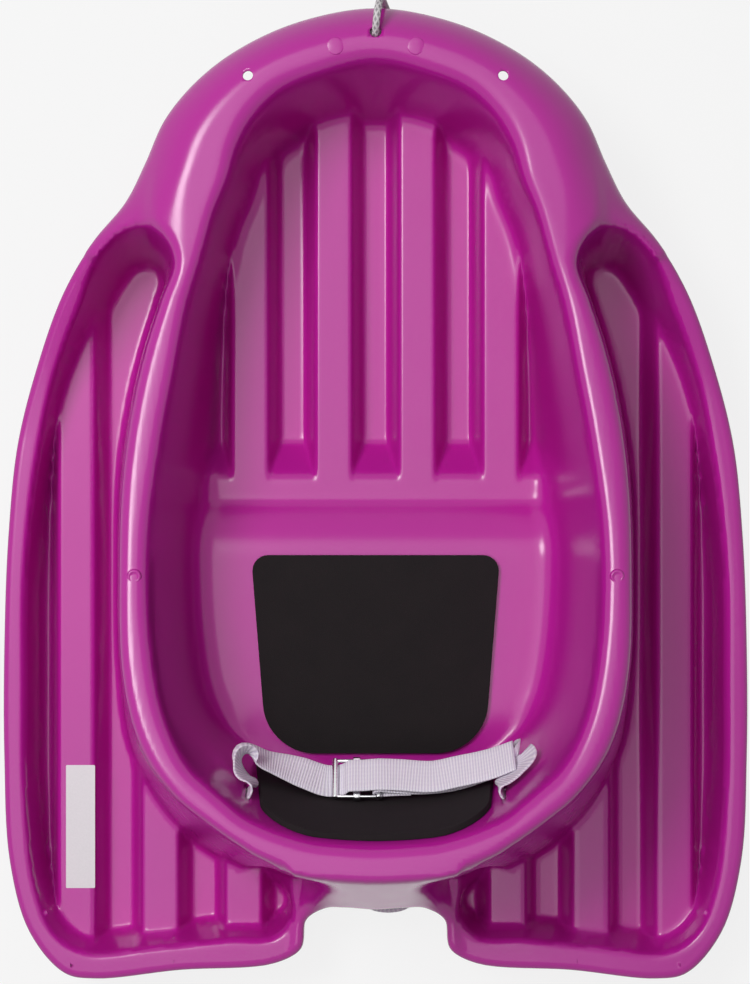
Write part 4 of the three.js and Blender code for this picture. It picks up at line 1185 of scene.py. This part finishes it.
def buckleTurn():
    return Matrix.Translation(buckle["centre"]) @ Matrix.Rotation(buckle["tilt"], 4, "X")


def addRod(bm, diameter, start, end, bevel):
    # a round rod between two places in the buckle's own frame, its ends softened
    start = Vector(start) * mm
    end = Vector(end) * mm
    turn = (end - start).to_track_quat("Z", "Y").to_matrix().to_4x4()
    made = bmesh.ops.create_cone(bm, cap_ends=True, segments=buckle["segments"], radius1=diameter / 2 * mm,
                                 radius2=diameter / 2 * mm, depth=(end - start).length,
                                 matrix=Matrix.Translation((start + end) / 2) @ turn)
    rims = [edge for edge in {edge for vert in made["verts"] for edge in vert.link_edges}
            if any(len(face.verts) > 4 for face in edge.link_faces)]
    bmesh.ops.bevel(bm, geom=rims, offset=bevel * mm, offset_type="OFFSET", segments=3, profile=0.5,
                    affect="EDGES", material=-1)


def makeBuckle():
    material = steelFinish()
    reach = buckle["barReach"]
    rail = buckle["railReach"]
    barHalf = rail + buckle["railDiameter"] / 2
    bm = bmesh.new()
    for side in (-1, 1):
        addRod(bm, buckle["barDiameter"], (side * reach, -barHalf, 0), (side * reach, barHalf, 0),
               buckle["barBevel"])
        addRod(bm, buckle["railDiameter"], (-reach, side * rail, 0), (reach, side * rail, 0),
               buckle["railBevel"])
    bmesh.ops.transform(bm, matrix=buckleTurn(), verts=bm.verts)
    framePiece = addPiece("buckleFrame", bm, material, stands=("buckle_frame",))
    bm = bmesh.new()
    flat = bmesh.ops.create_cube(bm, size=1.0)
    size = (buckle["eyeLength"], 2 * rail - buckle["eyeBore"] - buckle["eyeOverlap"], buckle["railDiameter"])
    bmesh.ops.scale(bm, vec=[number * mm for number in size], verts=flat["verts"])
    bmesh.ops.bevel(bm, geom=list(bm.edges), offset=buckle["flatBevel"] * mm, offset_type="OFFSET",
                    segments=3, profile=0.5, affect="EDGES", material=-1)
    for side in (-1, 1):
        addEye(bm, side * rail)
    bmesh.ops.transform(bm, matrix=buckleTurn(), verts=bm.verts)
    bar = addPiece("buckleBar", bm, material, body="buckle_slider", stands=("buckle_bar",))
    for piece in (framePiece, bar):
        piece.data.set_sharp_from_angle(angle=math.radians(buckle["sharpAngle"]))


def addEye(bm, across):
    # a short sleeve round a rail
    half = buckle["eyeLength"] / 2
    bore = buckle["eyeBore"] / 2
    out = buckle["eyeDiameter"] / 2
    soft = buckle["eyeBevel"]
    profile = [(bore, -half), (out - soft, -half), (out, -half + soft), (out, half - soft),
               (out - soft, half), (bore, half), (bore, -half)]
    turns = np.arange(buckle["segments"]) * fullTurn / buckle["segments"]
    rings = np.array([[(up * mm, (across + radius * math.cos(turn)) * mm, radius * math.sin(turn) * mm)
                       for turn in turns] for radius, up in profile])
    sleeve = closedTube(rings, capped=False)
    scrap = bpy.data.meshes.new("sleeve")
    sleeve.to_mesh(scrap)
    sleeve.free()
    bm.from_mesh(scrap)
    bpy.data.meshes.remove(scrap)


# Small marks on the hull

marks = {"discs": [(-27.5, 310.6), (27.5, 310.6)],
         "discProfile": [(0, -3), (6.1, -3), (6.1, -0.5), (5.8, -0.15), (5.2, 0.0), (0, 0.04)],
         "bosses": [(-162.18, -50.47), (162.18, -50.47)],
         "bossProfile": [(0, -1.9), (4.6, -1.9), (5.1, -0.9), (4.6, -0.1), (4.0, 0.45), (3.4, 0.55),
                         (2.9, 0.3), (2.5, -0.05), (1.4, -0.25), (0, -0.25)],
         "steps": 40, "labelSize": (21.0, 88.9, 0.2), "labelCentre": (-213.4, -235.75, 28.15),
         "labelCorner": 0.8, "upright": 0.05}


def makeMarks(plastic):
    for kind in ("boss", "disc"):
        profile = [(out * mm, up * mm) for out, up in marks[kind + "Profile"]]
        places = marks["bosses" if kind == "boss" else "discs"]
        for side, (x, y) in zip(("left", "right"), places):
            bm = spunPiece(profile, marks["steps"])
            z = rimHeight(np.array([y])) if kind == "boss" else hullHeight(np.array([x]), np.array([y]))
            bmesh.ops.translate(bm, vec=(x * mm, y * mm, float(z[0]) * mm), verts=bm.verts)
            addPiece(side + kind.capitalize(), bm, plastic)
    bm = bmesh.new()
    plate = bmesh.ops.create_cube(bm, size=1.0)
    bmesh.ops.scale(bm, vec=[number * mm for number in marks["labelSize"]], verts=plate["verts"])
    least = marks["upright"] * mm
    upright = [edge for edge in bm.edges if abs(edge.verts[0].co.z - edge.verts[1].co.z) > least]
    bmesh.ops.bevel(bm, geom=upright, offset=marks["labelCorner"] * mm, offset_type="OFFSET", segments=4,
                    profile=0.5, affect="EDGES", material=-1)
    bmesh.ops.translate(bm, vec=[number * mm for number in marks["labelCentre"]], verts=bm.verts)
    label = addPiece("blankLabel", bm, labelFinish())
    label.data.shade_flat()


# Floor and light

stage = {"clear": 0.0004, "floor": 16.0, "floorColour": (0.62, 0.62, 0.62), "white": 1.0,
         "cameraShare": 0.84, "worldStrength": 0.12}
lamps = [
    {"name": "keyLight", "place": (-0.95, 0.62, 2.1), "size": (0.7, 0.7), "power": 22.0, "aim": (0, 0, 0)},
    {"name": "overheadLight", "place": (-0.7, 0.25, 2.6), "size": (2.2, 2.6), "power": 27.0,
     "aim": (-0.7, 0.25, 0)},
]


def seenDirectly(tree):
    # one for the camera and for what shows in glossy or clear surfaces, nothing for the light on things
    camera, glossy, clear = [tree.node("ShaderNodeLightPath", output=f"Is {kind} Ray")
                             for kind in ("Camera", "Glossy", "Transmission")]
    return camera.most(glossy).most(clear)


def makeStage():
    world = bpy.data.worlds.new("studio")
    bpy.context.scene.world = world
    world.use_nodes = True
    sky = Nodes(world.node_tree)
    level = seenDirectly(sky) * (stage["white"] - stage["worldStrength"]) + stage["worldStrength"]
    sky.set(sky.tree.nodes["Background"], {"Strength": level, "Color": (1, 1, 1, 1)})
    for lamp in lamps:
        data = bpy.data.lights.new(lamp["name"], "AREA")
        data.shape = "RECTANGLE"
        data.size, data.size_y = lamp["size"]
        data.energy = lamp["power"]
        light = bpy.data.objects.new(lamp["name"], data)
        light.location = lamp["place"]
        away = Vector(lamp["place"]) - Vector(lamp["aim"])
        light.rotation_euler = away.to_track_quat("Z", "Y").to_euler()
        bpy.context.scene.collection.objects.link(light)
    bm = bmesh.new()
    bmesh.ops.create_grid(bm, x_segments=1, y_segments=1, size=stage["floor"] / 2,
                          matrix=Matrix.Translation((0, 0, -stage["clear"])))
    mesh = bpy.data.meshes.new("floor")
    bm.to_mesh(mesh)
    bm.free()
    floor = bpy.data.objects.new("floor", mesh)
    bpy.context.scene.collection.objects.link(floor)
    finish = Finish("pale floor", stage["floorColour"], 0.9, specular=0.1)
    glow = finish.node("ShaderNodeEmission", {"Color": (1, 1, 1, 1), "Strength": stage["white"]})
    plain = Signal(finish.tree, finish.shader.outputs[0])
    blend = finish.node("ShaderNodeMixShader", enumerate((seenDirectly(finish) * stage["cameraShare"],
                                                          plain, glow)))
    output = next(node for node in finish.tree.nodes if node.type == "OUTPUT_MATERIAL")
    finish.set(output, {"Surface": blend})
    mesh.materials.append(finish.material)
    bpy.context.scene.view_settings.view_transform = "Standard"
    print("stage ready")


makeRope()
sledHull = makeHull()
foam = foamFinish()
makePad("seatPad", seatPlace, "seat_pad", foam, (0, 0, 1))
makePad("backPad", backrestPad, "back_pad", foam, (0, 1, 0.2))
makeBelt(webbingFinish())
makeBuckle()
makeMarks(sledHull.data.materials[0])
makeStage()
